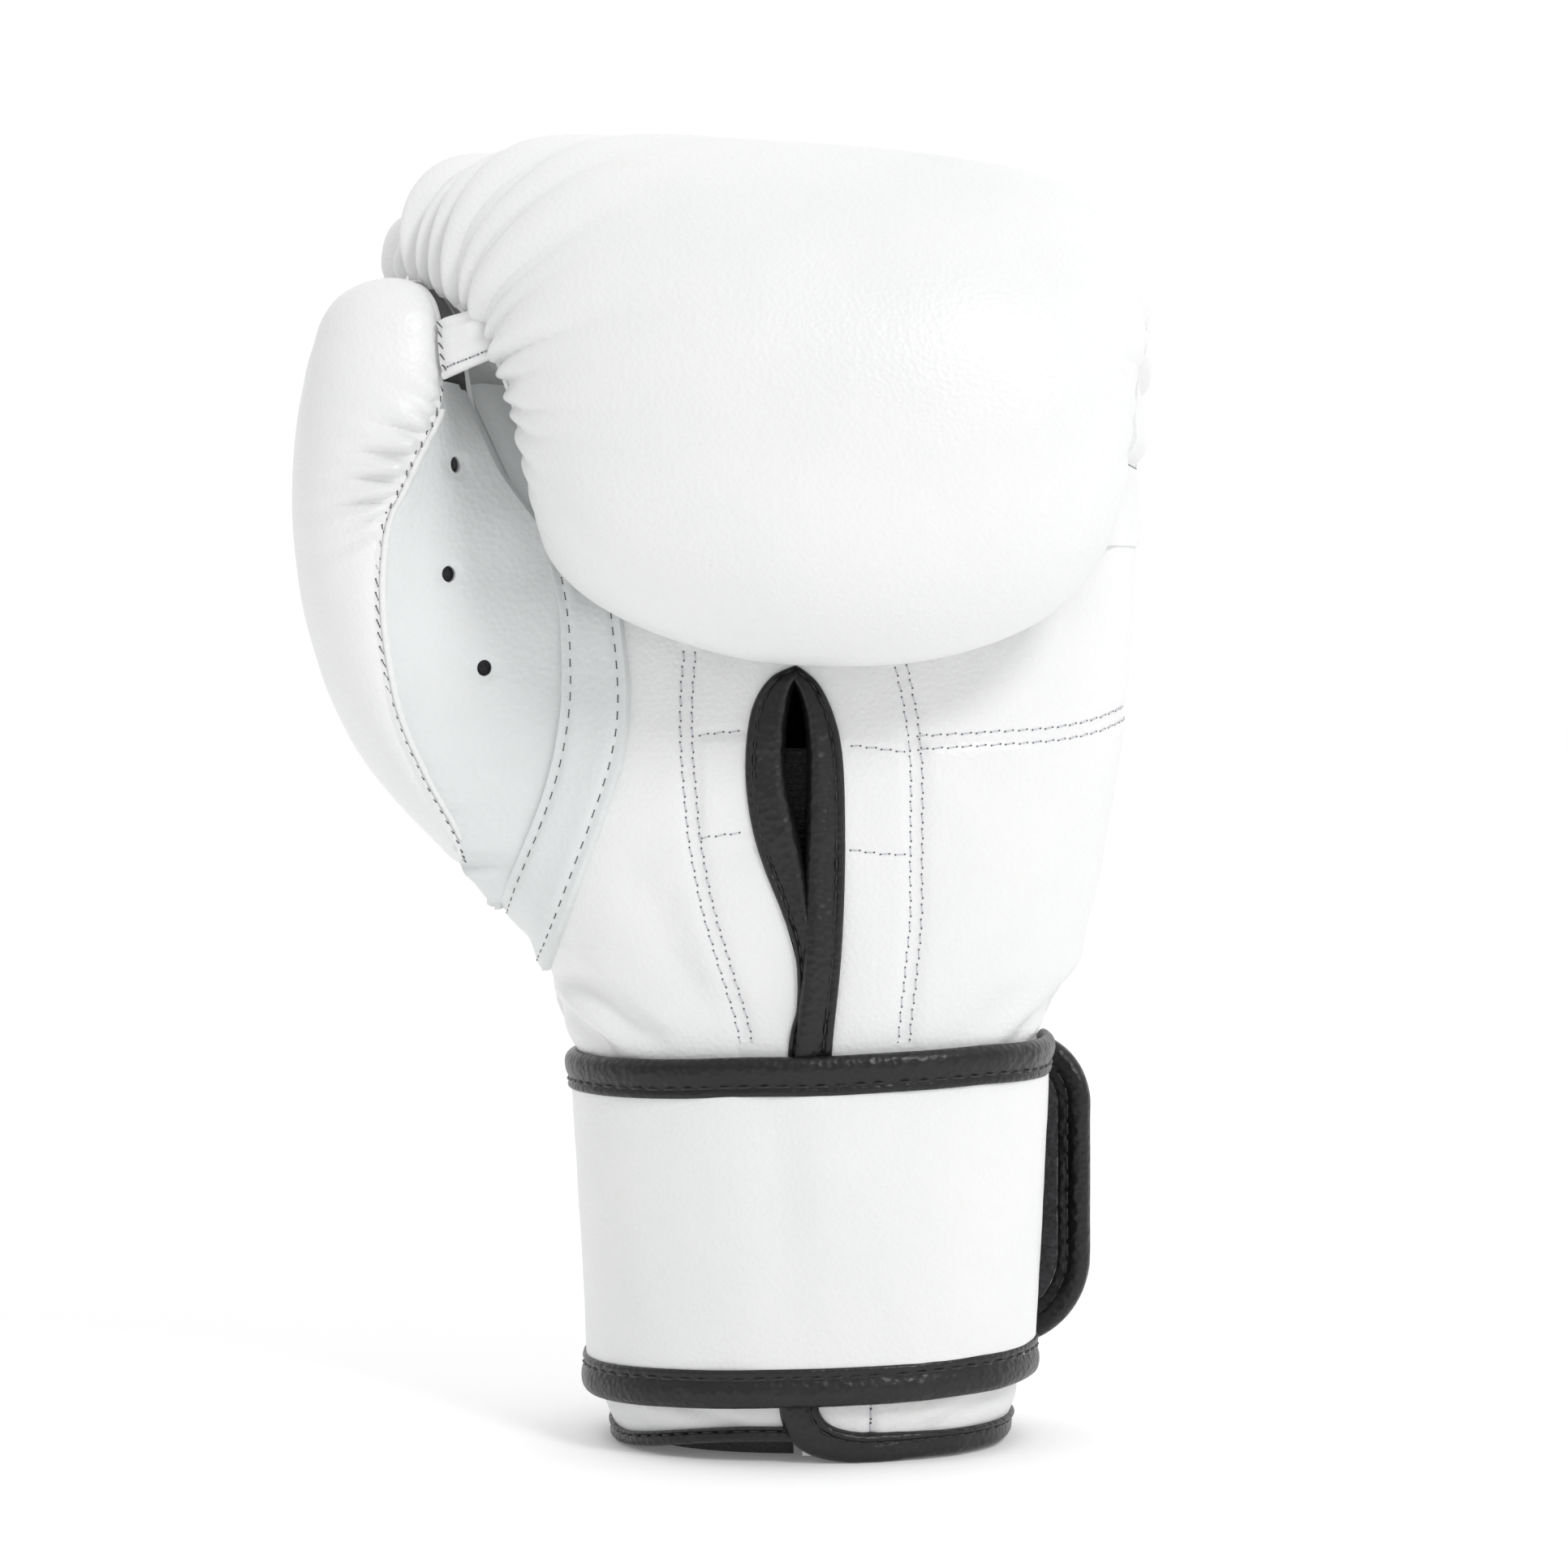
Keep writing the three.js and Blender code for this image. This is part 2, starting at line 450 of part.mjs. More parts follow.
// The inner panel closes the thumb towards the viewer of the palm, from the thumb seam to the gusset.
function innerPanel(deep) {
  return grid(14, 4, (t, u) => {
    const z = lerp(131, 226, t);
    const seam = thumbPoint(z, 1, 0);
    const right = z < 184 ? alongKey(GUSSET_INNER, z) - HALF_GAP : lerp(-54.5, -69, (z - 184) / 42);
    const depthRight = z < 184 ? palmAt(right, z, 0).y : lerp(-32.5, -41, (z - 184) / 42);
    const x = lerp(seam.x + 1.2, right, u);
    return new THREE.Vector3(x, lerp(seam.y, depthRight, u) + deep, z);
  });
}

function solid(geometry) {
  geometry.deleteAttribute("normal");
  geometry.deleteAttribute("uv");
  const merged = mergeVertices(geometry, 1e-4);
  return new wasm.Manifold(new wasm.Mesh({
    numProp: 3,
    vertProperties: merged.attributes.position.array,
    triVerts: new Uint32Array(merged.index.array),
  }));
}
let vented = solid(slab(innerPanel(0), innerPanel(LEATHER)));
for (const [x, z] of VENTS) {
  const punch = new THREE.CylinderGeometry(VENT_RADIUS, VENT_RADIUS, 40, 10).translate(x, -38, z);
  vented = vented.subtract(solid(punch));
}
const ventedMesh = vented.getMesh();
const ventedPanel = new THREE.BufferGeometry();
ventedPanel.setAttribute("position", new THREE.BufferAttribute(ventedMesh.vertProperties, 3));
ventedPanel.setIndex(new THREE.BufferAttribute(ventedMesh.triVerts, 1));
piece("thumb_inner_panel", ventedPanel, WHITE);

// ---------- strap ----------
// Closed round the wrist it starts at the little-finger side, crosses the palm side, goes round the thumb
// side and the back, and ends in a flap that is a little lifted from the cuff.
const HINGE = { base: -10, front: -140, rear: -220, flap: -315 }; // degrees round the wrist
const LINK_GAP = 0.6; // degrees
const lowEdge = (x) => STRAP_LOW + 1.9 + STRAP_SLOPE * x;
const highEdge = (x) => STRAP_HIGH - 0.3 + STRAP_SLOPE * x;

function strapLink(name, from, to) {
  const low = (x) => lowEdge(x) + BINDING_TALL + GAP;
  const high = (x) => highEdge(x) - BINDING_TALL - GAP;
  piece(`${name}`, band(from, to, low, high, STRAP_OUTER, STRAP_INNER, 2), WHITE);
  piece(`${name}_top_binding`,
    band(from, to, (x) => highEdge(x) - BINDING_TALL, highEdge, TAPE_OUTER, TAPE_INNER), BLACK);
  piece(`${name}_low_binding`,
    band(from, to, lowEdge, (x) => lowEdge(x) + BINDING_TALL, TAPE_OUTER, TAPE_INNER), BLACK);
}
strapLink("strap_root", 6, HINGE.base + LINK_GAP);
strapLink("strap_palm", HINGE.base - LINK_GAP, HINGE.front + LINK_GAP);
strapLink("strap_thumb_side", HINGE.front - LINK_GAP, HINGE.rear + LINK_GAP);
strapLink("strap_back", HINGE.rear - LINK_GAP, HINGE.flap + LINK_GAP);


// The flap runs straight on from the back of the wrist. Its end is rounded and bound with one tape.
const FLAP_LONG = 27;
const FLAP_TURN = -26; // degrees from +X
const FLAP_LOW = 15.5;
const FLAP_HIGH = 85;
const FLAP_ROUND = 17; // corner radius of the flap's free end
function flapOutline(inset, start = 0.4) {
  const shape = new THREE.Shape();
  const [low, high, long] = [FLAP_LOW + inset, FLAP_HIGH - inset, FLAP_LONG - inset];
  const round = FLAP_ROUND - inset;
  shape.moveTo(start, low);
  shape.lineTo(long - round, low);
  shape.absarc(long - round, low + round, round, -Math.PI / 2, 0, false);
  shape.absarc(long - round, high - round, round, 0, Math.PI / 2, false);
  shape.lineTo(start, high);
  return shape;
}
// Stands a flat outline up at the flap's hinge; near and far are its distances from the flap's outer face.
function flapPiece(name, outline, near, far, look) {
  const how = { depth: far - near, bevelEnabled: false, curveSegments: 6 };
  const geometry = new THREE.ExtrudeGeometry(outline, how);
  geometry.deleteAttribute("normal");
  geometry.deleteAttribute("uv");
  const start = cuffPoint(HINGE.flap, 86, STRAP_OUTER);
  geometry.translate(0, 0, near);
  geometry.rotateX(Math.PI / 2); // outline's v becomes +Z and its thickness -Y
  geometry.rotateZ((FLAP_TURN * Math.PI) / 180);
  geometry.translate(start.x, start.y, 0);
  piece(name, mergeVertices(geometry, 1e-3), look);
}
flapPiece("strap_flap", flapOutline(BINDING_TALL + GAP), 0, 1.9, WHITE);
const flapTape = [...flapOutline(0).getPoints(6), ...flapOutline(BINDING_TALL).getPoints(6).reverse()];
flapPiece("strap_flap_binding", new THREE.Shape(flapTape), -0.4, 2.3, BLACK);
const HOOKS = { color: 0x3a3a3e, roughness: 1, metalness: 0 };
flapPiece("hook_patch", flapOutline(BINDING_TALL + 3, 9), 2.3, 3.5, HOOKS);
piece("loop_patch", band(9, 29, 28, 74, 1.7, 0.4), HOOKS);

glove.updateMatrixWorld(true);
// Bring the origin to the middle of the footprint of the whole, at the floor.
const box = new THREE.Box3().setFromObject(glove);
const middle = box.getCenter(new THREE.Vector3());
glove.children.forEach((mesh) => mesh.geometry.translate(-middle.x, -middle.y, -box.min.z));
export default glove;
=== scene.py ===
import math

import bpy
import numpy as np
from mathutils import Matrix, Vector


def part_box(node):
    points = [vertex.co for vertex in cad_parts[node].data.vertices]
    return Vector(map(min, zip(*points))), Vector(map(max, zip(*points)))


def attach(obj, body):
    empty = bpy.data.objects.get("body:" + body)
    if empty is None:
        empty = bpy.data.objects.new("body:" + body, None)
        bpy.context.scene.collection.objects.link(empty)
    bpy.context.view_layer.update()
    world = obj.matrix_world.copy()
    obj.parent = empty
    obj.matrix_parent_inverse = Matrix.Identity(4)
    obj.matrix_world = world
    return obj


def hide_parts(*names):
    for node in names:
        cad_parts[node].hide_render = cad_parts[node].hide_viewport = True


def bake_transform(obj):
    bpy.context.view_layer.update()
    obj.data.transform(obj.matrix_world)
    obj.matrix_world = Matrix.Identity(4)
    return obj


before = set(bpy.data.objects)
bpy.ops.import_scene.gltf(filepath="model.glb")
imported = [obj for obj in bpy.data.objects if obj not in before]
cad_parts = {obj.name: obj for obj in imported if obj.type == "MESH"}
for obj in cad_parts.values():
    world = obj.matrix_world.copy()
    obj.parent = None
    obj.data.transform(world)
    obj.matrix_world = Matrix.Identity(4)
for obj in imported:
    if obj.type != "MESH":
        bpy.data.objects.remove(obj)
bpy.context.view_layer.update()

rng = np.random.default_rng(7)

# ---- frame
# Everything below is in millimetres from the cuff's centre, with the floor at z = 0: +X little finger,
# -X thumb, -Y palm side, +Y back of the hand. row() turns that into the row frame, in metres.
cuff_box_low, cuff_box_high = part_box("cuff_rim_binding")
SHIFT = np.array([(cuff_box_low.x + cuff_box_high.x) / 2, (cuff_box_low.y + cuff_box_high.y) / 2, 0.0])


def row(points):
    return np.asarray(points, float) / 1000 + SHIFT


def point(x, y, z):
    return tuple(row([x, y, z]))


# ---- dimensions
# Outer panel: middle line y, z; side seam y, z; left and right x; superellipse exponent; lean.
STATIONS = np.array([
    [40.5, 90.2, 0, 90.2, -53.8, 51, 2.3, 0],
    [43, 104, 1, 104, -58.6, 58.5, 2.3, 0],
    [48, 125, 2, 122, -70, 63.5, 2.4, 0],
    [53, 155, 3, 150, -81, 68.5, 2.5, 0],
    [57, 190, 3, 182, -88, 71.5, 2.7, 0],
    [57, 224, 2, 210, -92, 73, 2.9, 0.02],
    [52, 251, -1, 229, -94, 74, 3.1, 0.04],
    [35, 273, -8, 242, -93, 74, 3.3, 0.06],
    [8, 282, -17, 246.5, -90, 73.5, 3.3, 0.06],
    [-24, 281, -27, 246, -84, 72.5, 3, 0.06],
    [-53, 268, -36, 241.5, -77, 71, 2.7, 0.06],
    [-72, 245, -43, 234, -69, 70, 2.4, 0.05],
    [-79, 217, -47, 222, -63.6, 68, 2.2, 0.05],
    [-75, 190, -47, 211, -60.6, 66, 2.1, 0.05],
    [-60, 172, -44, 203, -58.6, 63, 2, 0.04],
    [-45, 171, -40, 198, -57, 59, 2, 0.03],
    [-36, 181, -36, 196, -50, 52, 2, 0.02],
])
# Share of the way from the middle line to the seam that padding fills, at each station.
PAD_SHARE = [0.36, 0.4, 0.44, 0.48, 0.5, 0.6, 0.78, 0.94, 1, 1, 1, 1, 1, 0.96, 0.9, 0.8, 0.7]
# Gathers along a side seam: station, depth, length. Lean of the left ones: station, slope.
LEFT_GATHERS = [(0, 0.3, 6), (5, 0.5, 7), (6.3, 1.6, 26), (7.2, 2.8, 42), (8, 4.0, 54), (9, 4.8, 58),
                (10, 4.7, 54), (11, 4.0, 42), (12, 2.3, 26), (13, 1.2, 15), (14, 0.6, 9), (16, 0.5, 6)]
LEFT_LEAN = [(0, 0), (5, 0), (6.5, 0.05), (8, 0.18), (9, 0.3), (10, 0.33), (11.5, 0.15), (13, 0), (16, 0)]
RIGHT_GATHERS = [(0, 0.3, 6), (6, 0.4, 8), (8, 0.9, 15), (10, 1.0, 17), (12, 0.8, 12), (14, 0.5, 8),
                 (16, 0.4, 6)]
# Thumb slices: z, left, right, front, back.
THUMB = np.array([
    [119, -69, -62, -15, -2], [128, -78.6, -60, -27, 0], [140, -89, -55, -35, 1],
    [152, -97.5, -52.5, -39, 1], [165, -103.5, -53, -42, 1], [180, -108, -56, -45, 0],
    [195, -110, -61, -47, -2], [208, -110.3, -66, -48, -4], [220, -109.2, -70, -48, -7],
    [232, -107, -72, -47, -11], [240, -105.5, -72.4, -45.5, -14],
])
THUMB_TIP, THUMB_SHOULDER, THUMB_START = 252.4, 232, 14
THUMB_SEAM = [[-75.4, 128], [-83, 147.4], [-87.5, 160], [-89.8, 180], [-88.8, 198], [-84.5, 211], [-77, 226]]
VENTS = [(-74.7, 212), (-76.4, 189), (-69.3, 169)]
# Lines over the palm, as x (or y) at rising z.
GUSSET_INNER = [[-67.9, 116.4], [-62.1, 129.8], [-56.7, 143.8], [-53.6, 159], [-53.3, 173], [-54.3, 184]]
GUSSET_OUTER = [[-59.2, 104], [-53.5, 117.6], [-45.6, 138.5], [-41.6, 152], [-40.8, 165], [-42.8, 184]]
FACING_LEFT = [[-11.9, 86], [-17, 106.5], [-22.6, 128], [-24.8, 148], [-24.7, 173], [-23, 198]]
FACING_RIGHT = [[18.4, 86], [20.1, 105], [21.1, 128], [20.8, 149], [18.1, 169], [16, 198]]
SLIT_LEFT = [[-6, 5], [-6, 45], [-4.1, 86], [-2.7, 104], [-7.1, 122], [-9.7, 132], [-11.2, 141], [-11.6, 151],
             [-10.4, 160], [-6.9, 167], [-0.9, 170.5], [-2.2, 171]]
SLIT_RIGHT = [[4.3, 5], [2.5, 45], [1.8, 86], [3.5, 104], [4.5, 120], [4.7, 132], [4.7, 141], [4.3, 151],
              [2.5, 160], [-0.9, 167], [-4.7, 170.5], [-2.2, 171]]
PALM_MID = [[-39.6, 80], [-39.4, 86], [-39, 104], [-38.5, 125], [-37.5, 150], [-35, 175], [-31, 198]]
SEAM_Y = [[0, 84], [0, 90.2], [1, 104], [2, 122], [3, 150], [3, 182], [2, 210]]
SEAM_LEFT = [[-50.4, 84], [-53.8, 90.2], [-56.6, 96], [-58.6, 104], [-70, 122], [-81, 150], [-88, 182],
             [-92, 210]]
SEAM_RIGHT = [[49.9, 84], [51, 90.2], [58.5, 104], [63.5, 122], [68.5, 150], [71.5, 182], [73, 210]]
PALM_LOW, PALM_HIGH, SIDE_SEAM_Z, WALL_SEAM_Z, PALM_SQUARE = 82, 197, 155, 213, 2.4
# Creases pressed into the palm: start, end, width, depth.
FOLDS = [((66, 106), (40, 86), 2.4, 2.4), ((60, 97), (44, 84), 1.6, 1.6), ((52, 103), (30, 90), 3.5, 0.7),
         ((-57, 97), (-41, 85), 2.0, 2.4), ((-52, 104), (-30, 88), 2.6, 1.6), ((-34, 112), (-16, 92), 4.0, 0.9),
         ((-40, 128), (-22, 104), 5.0, 0.8), ((30, 150), (62, 132), 5.0, 0.5), ((34, 112), (62, 120), 5.0, 0.5)]
# Stitched rows: x, z points. Double rows first, then the single ones of the frame round the slit.
DOUBLE_ROWS = {
    "left": [(-25.7, 173), (-26.4, 163), (-26.4, 153), (-25.6, 142), (-24.6, 132), (-21.8, 118),
             (-18.4, 106.5), (-15.2, 96), (-12.9, 86)],
    "right": [(19.2, 170), (21.4, 159), (22.4, 149), (22.4, 128), (22.4, 117), (21.4, 105), (20.3, 95),
              (19.6, 86)],
    "side": [(22.5, 153.4), (38, 154.2), (52, 155), (61.4, 156.6), (69.4, 159.4)],
}
FRAME_ROWS = {
    "left_high": [(-24, 155), (-19, 155.6), (-14.4, 155.9)],
    "left_low": [(-23.6, 133.2), (-18, 134), (-13.4, 134.4)],
    "right_high": [(8.2, 152.8), (14, 152.2), (20.4, 151.3)],
    "right_low": [(8, 130.8), (14, 130), (20.8, 129.6)],
}
# Edges of the slit's tapes in pairs: stitched x, z, then wrapped x, z.
LEFT_RIBS = [(-6.4, 17, -1.4, 17), (-6.2, 25, -0.6, 25), (-6.0, 45, 0.0, 45), (-5.0, 86, 0.4, 86),
             (-3.0, 98, 1.6, 99), (-3.4, 109, 0.9, 110), (-6.2, 117.5, -0.2, 118.4), (-9.8, 126.5, -1.2, 126),
             (-12.4, 135, -2.8, 134.5), (-13.8, 145, -4.9, 144), (-13.6, 154.5, -5.5, 152.5),
             (-12.0, 162, -5.0, 159.5), (-8.4, 167.3, -4.0, 164.6), (-3.2, 169.8, -2.9, 166.6)]
RIGHT_RIBS = [(-5.0, 170.4, -3.9, 166.2), (-0.6, 169.2, -2.6, 164.8), (4.2, 161.6, -1.2, 158.2),
              (6.6, 152.5, -0.6, 151.5), (7.2, 142, -0.8, 142), (7.3, 130.6, -1.2, 130.6),
              (7.0, 118.6, -1.6, 118.6), (6.2, 105, -2.1, 105), (4.6, 90, -3.7, 90), (4.2, 80, -4.1, 80),
              (3.0, 45, -5.0, 45), (2.0, 20, -6.6, 20), (1.2, 13, -7.2, 12.0), (2.2, 9.6, -5.8, 6.4),
              (5.4, 7.5, -2.0, 2.0), (10.5, 6.5, 5.6, 0.4), (16.5, 6.3, 15.0, 0.2), (23, 6.2, 22.6, 0.2)]
CUFF_X = [[41.5, 0], [43.5, 4.2], [45.8, 10], [46.6, 22], [48.2, 55], [49.8, 90]]
CUFF_Y = [[34, 0], [35.5, 4.2], [37.2, 10], [37.8, 22], [38.7, 55], [39.6, 90]]
CUFF_SQUARE = 2.3
HINGE = {"base": -10, "front": -140, "rear": -220, "flap": -315}
FLAP_TURN, FLAP_LONG, FLAP_LOW, FLAP_HIGH = math.radians(-26), 27.0, 15.5, 87.0
FLAP_ROUND, FLAP_START = (22.0, 16.0), 4.0
# Sections of the strap's tapes, from the stitched edge on the outer face, over the edge, to the inner face:
# distance from the edge, height.
STRAP_TAPE = [(8.4, 2.6), (8.45, 3.1), (8.1, 3.5), (7.5, 3.62), (6.9, 3.42), (6.4, 3.3), (5.9, 3.4),
              (5.2, 3.72), (4.4, 3.98), (3.4, 4.12), (2.4, 4.1), (1.5, 3.9), (0.8, 3.5), (0.3, 2.95),
              (0.05, 2.3), (0.2, 1.5), (0.8, 0.9), (2.0, 0.62), (4.5, 0.55), (7.5, 0.6), (8.3, 0.8), (8.3, 1.6)]
FLAP_TAPE = [(8.2, 0.1), (8.3, 0.6), (7.6, 0.95), (6.8, 0.8), (6.2, 0.62), (5.6, 0.8), (4.6, 1.1), (3.2, 1.2),
             (1.8, 1.1), (0.8, 0.7), (0.15, 0.0), (0.0, -0.95), (0.15, -1.9), (0.8, -2.7), (1.8, -3.1),
             (3.0, -3.2), (4.0, -3.0), (4.6, -2.72), (5.1, -2.85), (5.9, -3.1), (6.8, -3.15), (7.4, -2.9),
             (7.5, -2.2), (7.2, -1.0)]


# ---- small mathematics
def spline(values, t):
    """Catmull-Rom through equally spaced rows of values, at parameters 0 to 1."""
    values = np.asarray(values, float)
    last = len(values) - 1
    u = np.clip(np.asarray(t, float), 0, 1) * last
    i = np.minimum(np.floor(u).astype(int), last - 1)
    f = u - i
    if values.ndim > 1:
        f = f[..., None]
    a, b, c, d = (values[np.clip(i + k, 0, last)] for k in (-1, 0, 1, 2))
    return 0.5 * (2 * b + (c - a) * f + (2 * a - 5 * b + 4 * c - d) * f**2 + (3 * b - a - 3 * c + d) * f**3)


def along(points, key):
    """Value of a smooth curve given as [value, key] pairs with rising keys."""
    values, keys = np.asarray(points, float).T
    key = np.asarray(key, float)
    i = np.clip(np.searchsorted(keys, key, side="right") - 1, 0, len(keys) - 2)
    f = np.clip((key - keys[i]) / (keys[i + 1] - keys[i]), 0, 1)
    return spline(values, (i + f) / (len(keys) - 1))


def power(v, p):
    return np.sign(v) * np.abs(v) ** p


def mix(a, b, t):
    return a + (b - a) * t


def step(low, high, v):
    t = np.clip((v - low) / (high - low), 0, 1)
    return t * t * (3 - 2 * t)


def bell(v, width, square=2):
    """1 where v is 0, falling to nothing beyond the width."""
    return np.exp(-((v / width) ** square))


def unit(v):
    return v / np.maximum(np.linalg.norm(v, axis=-1, keepdims=True), 1e-9)


def lengths(points):
    """Distance run along a line of points, or along each row of a grid."""
    gaps = np.linalg.norm(np.diff(points, axis=-2), axis=-1)
    return np.concatenate([np.zeros_like(gaps[..., :1]), np.cumsum(gaps, axis=-1)], axis=-1)


def noise(points, size, seed=0):
    """Smooth value noise, -1 to 1, with features about size mm across."""
    p = np.asarray(points, float) / size + seed * 17.31
    cell = np.floor(p).astype(np.int64)
    f = step(0, 1, p - cell)
    out = 0
    for corner in np.ndindex(2, 2, 2):
        h = ((cell + corner) * [374761393, 668265263, 2147483647]).sum(axis=-1)
        h = (h ^ (h >> 13)) * 1274126177
        h = h ^ (h >> 16)
        out = out + np.where(corner, f, 1 - f).prod(axis=-1) * ((h & 0xFFFF) / 32767.5 - 1)
    return out


def resample(points, count=None, pitch=None):
    """A polyline with equally spaced points."""
    points = np.asarray(points, float)
    run = lengths(points)
    if count is None:
        count = max(2, int(round(run[-1] / pitch)) + 1)
    s = np.linspace(0, run[-1], count)
    return np.stack([np.interp(s, run, column) for column in points.T], axis=1)


def smooth_line(points, pitch):
    """A smooth curve through the given points, resampled."""
    return resample(spline(points, np.linspace(0, 1, 40 * len(points))), pitch=pitch)


def circle(count, a, b):
    """Points round an ellipse with the half-axes a and b."""
    angle = np.linspace(0, 2 * math.pi, count, endpoint=False)[:, None]
    return np.cos(angle) * a + np.sin(angle) * b


def normals_of(grid):
    return unit(np.cross(np.gradient(grid, axis=1), np.gradient(grid, axis=0)))


def outward(grid, inside):
    """Normals of a grid, turned away from a point inside."""
    n = normals_of(grid)
    return n if np.sum(n * (grid - inside), axis=-1).mean() > 0 else -n


def palmward(grid):
    """Normals of a grid, turned to the palm side."""
    n = normals_of(grid)
    return -n if n[..., 1].mean() > 0 else n


def normal_at(place, x, z, d):
    """Normals, turned to the palm side, of the surface that place gives for x and z."""
    n = unit(np.cross(place(x + d, z) - place(x - d, z), place(x, z + d) - place(x, z - d)))
    return n * np.where(n[..., 1:2] > 0, -1, 1)


# ---- meshes
def mesh(name, points, faces, material):
    if name in bpy.data.objects:
        name += "_skin"
    data = bpy.data.meshes.new(name)
    data.vertices.add(len(points))
    data.vertices.foreach_set("co", row(points).astype(np.float32).ravel())
    faces = np.asarray(faces, np.int32)
    data.loops.add(faces.size)
    data.loops.foreach_set("vertex_index", faces.ravel())
    data.polygons.add(len(faces))
    data.polygons.foreach_set("loop_start", np.arange(0, faces.size, faces.shape[1], dtype=np.int32))
    data.polygons.foreach_set("use_smooth", np.full(len(faces), True))
    data.update(calc_edges=True)
    data.validate()
    data.set_sharp_from_angle(angle=math.radians(58))
    data.materials.append(material)
    thing = bpy.data.objects.new(name, data)
    bpy.context.scene.collection.objects.link(thing)
    return thing


def closed(name, points, faces, material):
    """A mesh of a closed piece, with its faces turned outwards."""
    corner = points[faces].swapaxes(0, 1)
    volume = sum(np.sum(corner[0] * np.cross(corner[k], corner[k + 1])) for k in range(1, faces.shape[1] - 1))
    return mesh(name, points, faces[:, ::-1] if volume < 0 else faces, material)


def quads(rows, cols, wrap=False):
    r, c = np.meshgrid(np.arange(rows - 1), np.arange(cols if wrap else cols - 1), indexing="ij")
    n = (c + 1) % cols
    return np.stack([r * cols + c, r * cols + n, (r + 1) * cols + n, (r + 1) * cols + c], -1).reshape(-1, 4)


def slab(name, outer, inner, material):
    """A closed leather piece between two matching grids of points."""
    rows, cols = outer.shape[:2]
    count = rows * cols
    face = quads(rows, cols)
    low, start = np.arange(cols - 1), np.arange(rows - 1) * cols
    high, end = low + count - cols, start + cols - 1
    faces = np.concatenate([
        face, face[:, ::-1] + count,
        np.stack([low, low + count, low + 1 + count, low + 1], -1),
        np.stack([high + 1, high + 1 + count, high + count, high], -1),
        np.stack([start + cols, start + cols + count, start + count, start], -1),
        np.stack([end, end + count, end + cols + count, end + cols], -1)])
    return closed(name, np.concatenate([outer.reshape(-1, 3), inner.reshape(-1, 3)]), faces, material)


def tube_faces(count, sides):
    """Triangles of a capped tube. Its two end points follow the points of its rings."""
    face = quads(count, sides, wrap=True)
    c = np.arange(sides)
    n, end, low = (c + 1) % sides, (count - 1) * sides, np.full(sides, count * sides)
    return np.concatenate([face[:, [0, 1, 2]], face[:, [0, 2, 3]],
                           np.stack([n, c, low], -1), np.stack([end + c, end + n, low + 1], -1)])


def tube(name, rings, material):
    """A closed tube through rings of points, shaped (count, sides, 3)."""
    points = np.concatenate([rings.reshape(-1, 3), rings[:1].mean(axis=1), rings[-1:].mean(axis=1)])
    return closed(name, points, tube_faces(*rings.shape[:2]), material)


def stitches(name, line, normal, material, slot="white_leather", pitch=3.2, length=2.2, radius=0.17, rise=0.2,
             slant=0.0, holes=0.0):
    """Separate thread stitches along a line on a surface. holes is the radius of the needle holes at the ends,
    drawn as dark discs of painted shade.
    """
    fine = resample(np.concatenate([line, normal], axis=1), pitch=0.5)
    run = lengths(fine[:, :3])
    t = np.linspace(0, 1, 6)
    arch = np.sin(math.pi * np.clip(t, 0.02, 0.98)) ** 0.5
    one = tube_faces(6, 6)
    disc = np.stack([np.zeros(8, int), 1 + np.arange(8), 1 + (np.arange(8) + 1) % 8], -1)
    points, faces, dark, base = [], [], [], 0
    for start in np.arange(0.4, run[-1] - length, pitch):
        s = start + t * length * (0.94 + 0.12 * rng.random())
        at = np.stack([np.interp(s, run, column) for column in fine.T], axis=1)
        n = unit(at[:, 3:])
        side = unit(np.cross(n, np.gradient(at[:, :3], axis=0)))
        lean = slant * (t - 0.5) + 0.1 * (rng.random() - 0.5)
        centre = at[:, :3] + n * (rise * arch - 0.12)[:, None] + side * lean[:, None]
        size = radius * (0.6 + 0.4 * arch)[:, None, None]
        ring = centre[:, None] + size * circle(6, side[:, None], n[:, None])
        points += [ring.reshape(-1, 3), centre[[0, -1]]]
        faces.append(one + base)
        dark.append(np.zeros(len(one), int))
        base += 6 * 6 + 2
        for k in (0, -1) if holes else ():
            middle = centre[k] + n[k] * 0.2
            around = holes * circle(8, side[k], 1.2 * np.cross(side[k], n[k]))
            points += [middle[None] - n[k] * 0.05, middle + around]
            faces.append(disc + base)
            dark.append(np.ones(8, int))
            base += 9
    dark = np.concatenate(dark).astype(np.int32)
    thing = mesh(name, np.concatenate(points), np.concatenate(faces), material)
    thing.data.materials.append(HOLE_SHADE)
    if len(thing.data.polygons) == len(dark):
        thing.data.polygons.foreach_set("material_index", dark)
    return thing


def keep(thing, body, *stands_for):
    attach(thing, body)
    if stands_for:
        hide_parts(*stands_for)
    return thing


# ---- materials
def nodes_for(name):
    material = bpy.data.materials.new(name)
    material.use_nodes = True
    tree = material.node_tree
    return material, tree, tree.nodes["Principled BSDF"]


def give(node, values):
    """Sets a node's inputs by their names."""
    for key, value in values.items():
        node.inputs[key].default_value = value


def texture(tree, kind, scale, **values):
    node = tree.nodes.new(kind)
    for key, value in {"Scale": scale, **values}.items():
        if hasattr(node, key):
            setattr(node, key, value)
        else:
            node.inputs[key].default_value = value
    where = tree.nodes.new("ShaderNodeTexCoord").outputs["Object"]
    tree.links.new(where, node.inputs["Vector"])
    return node.outputs["Distance" if kind.endswith("Voronoi") else "Fac"]


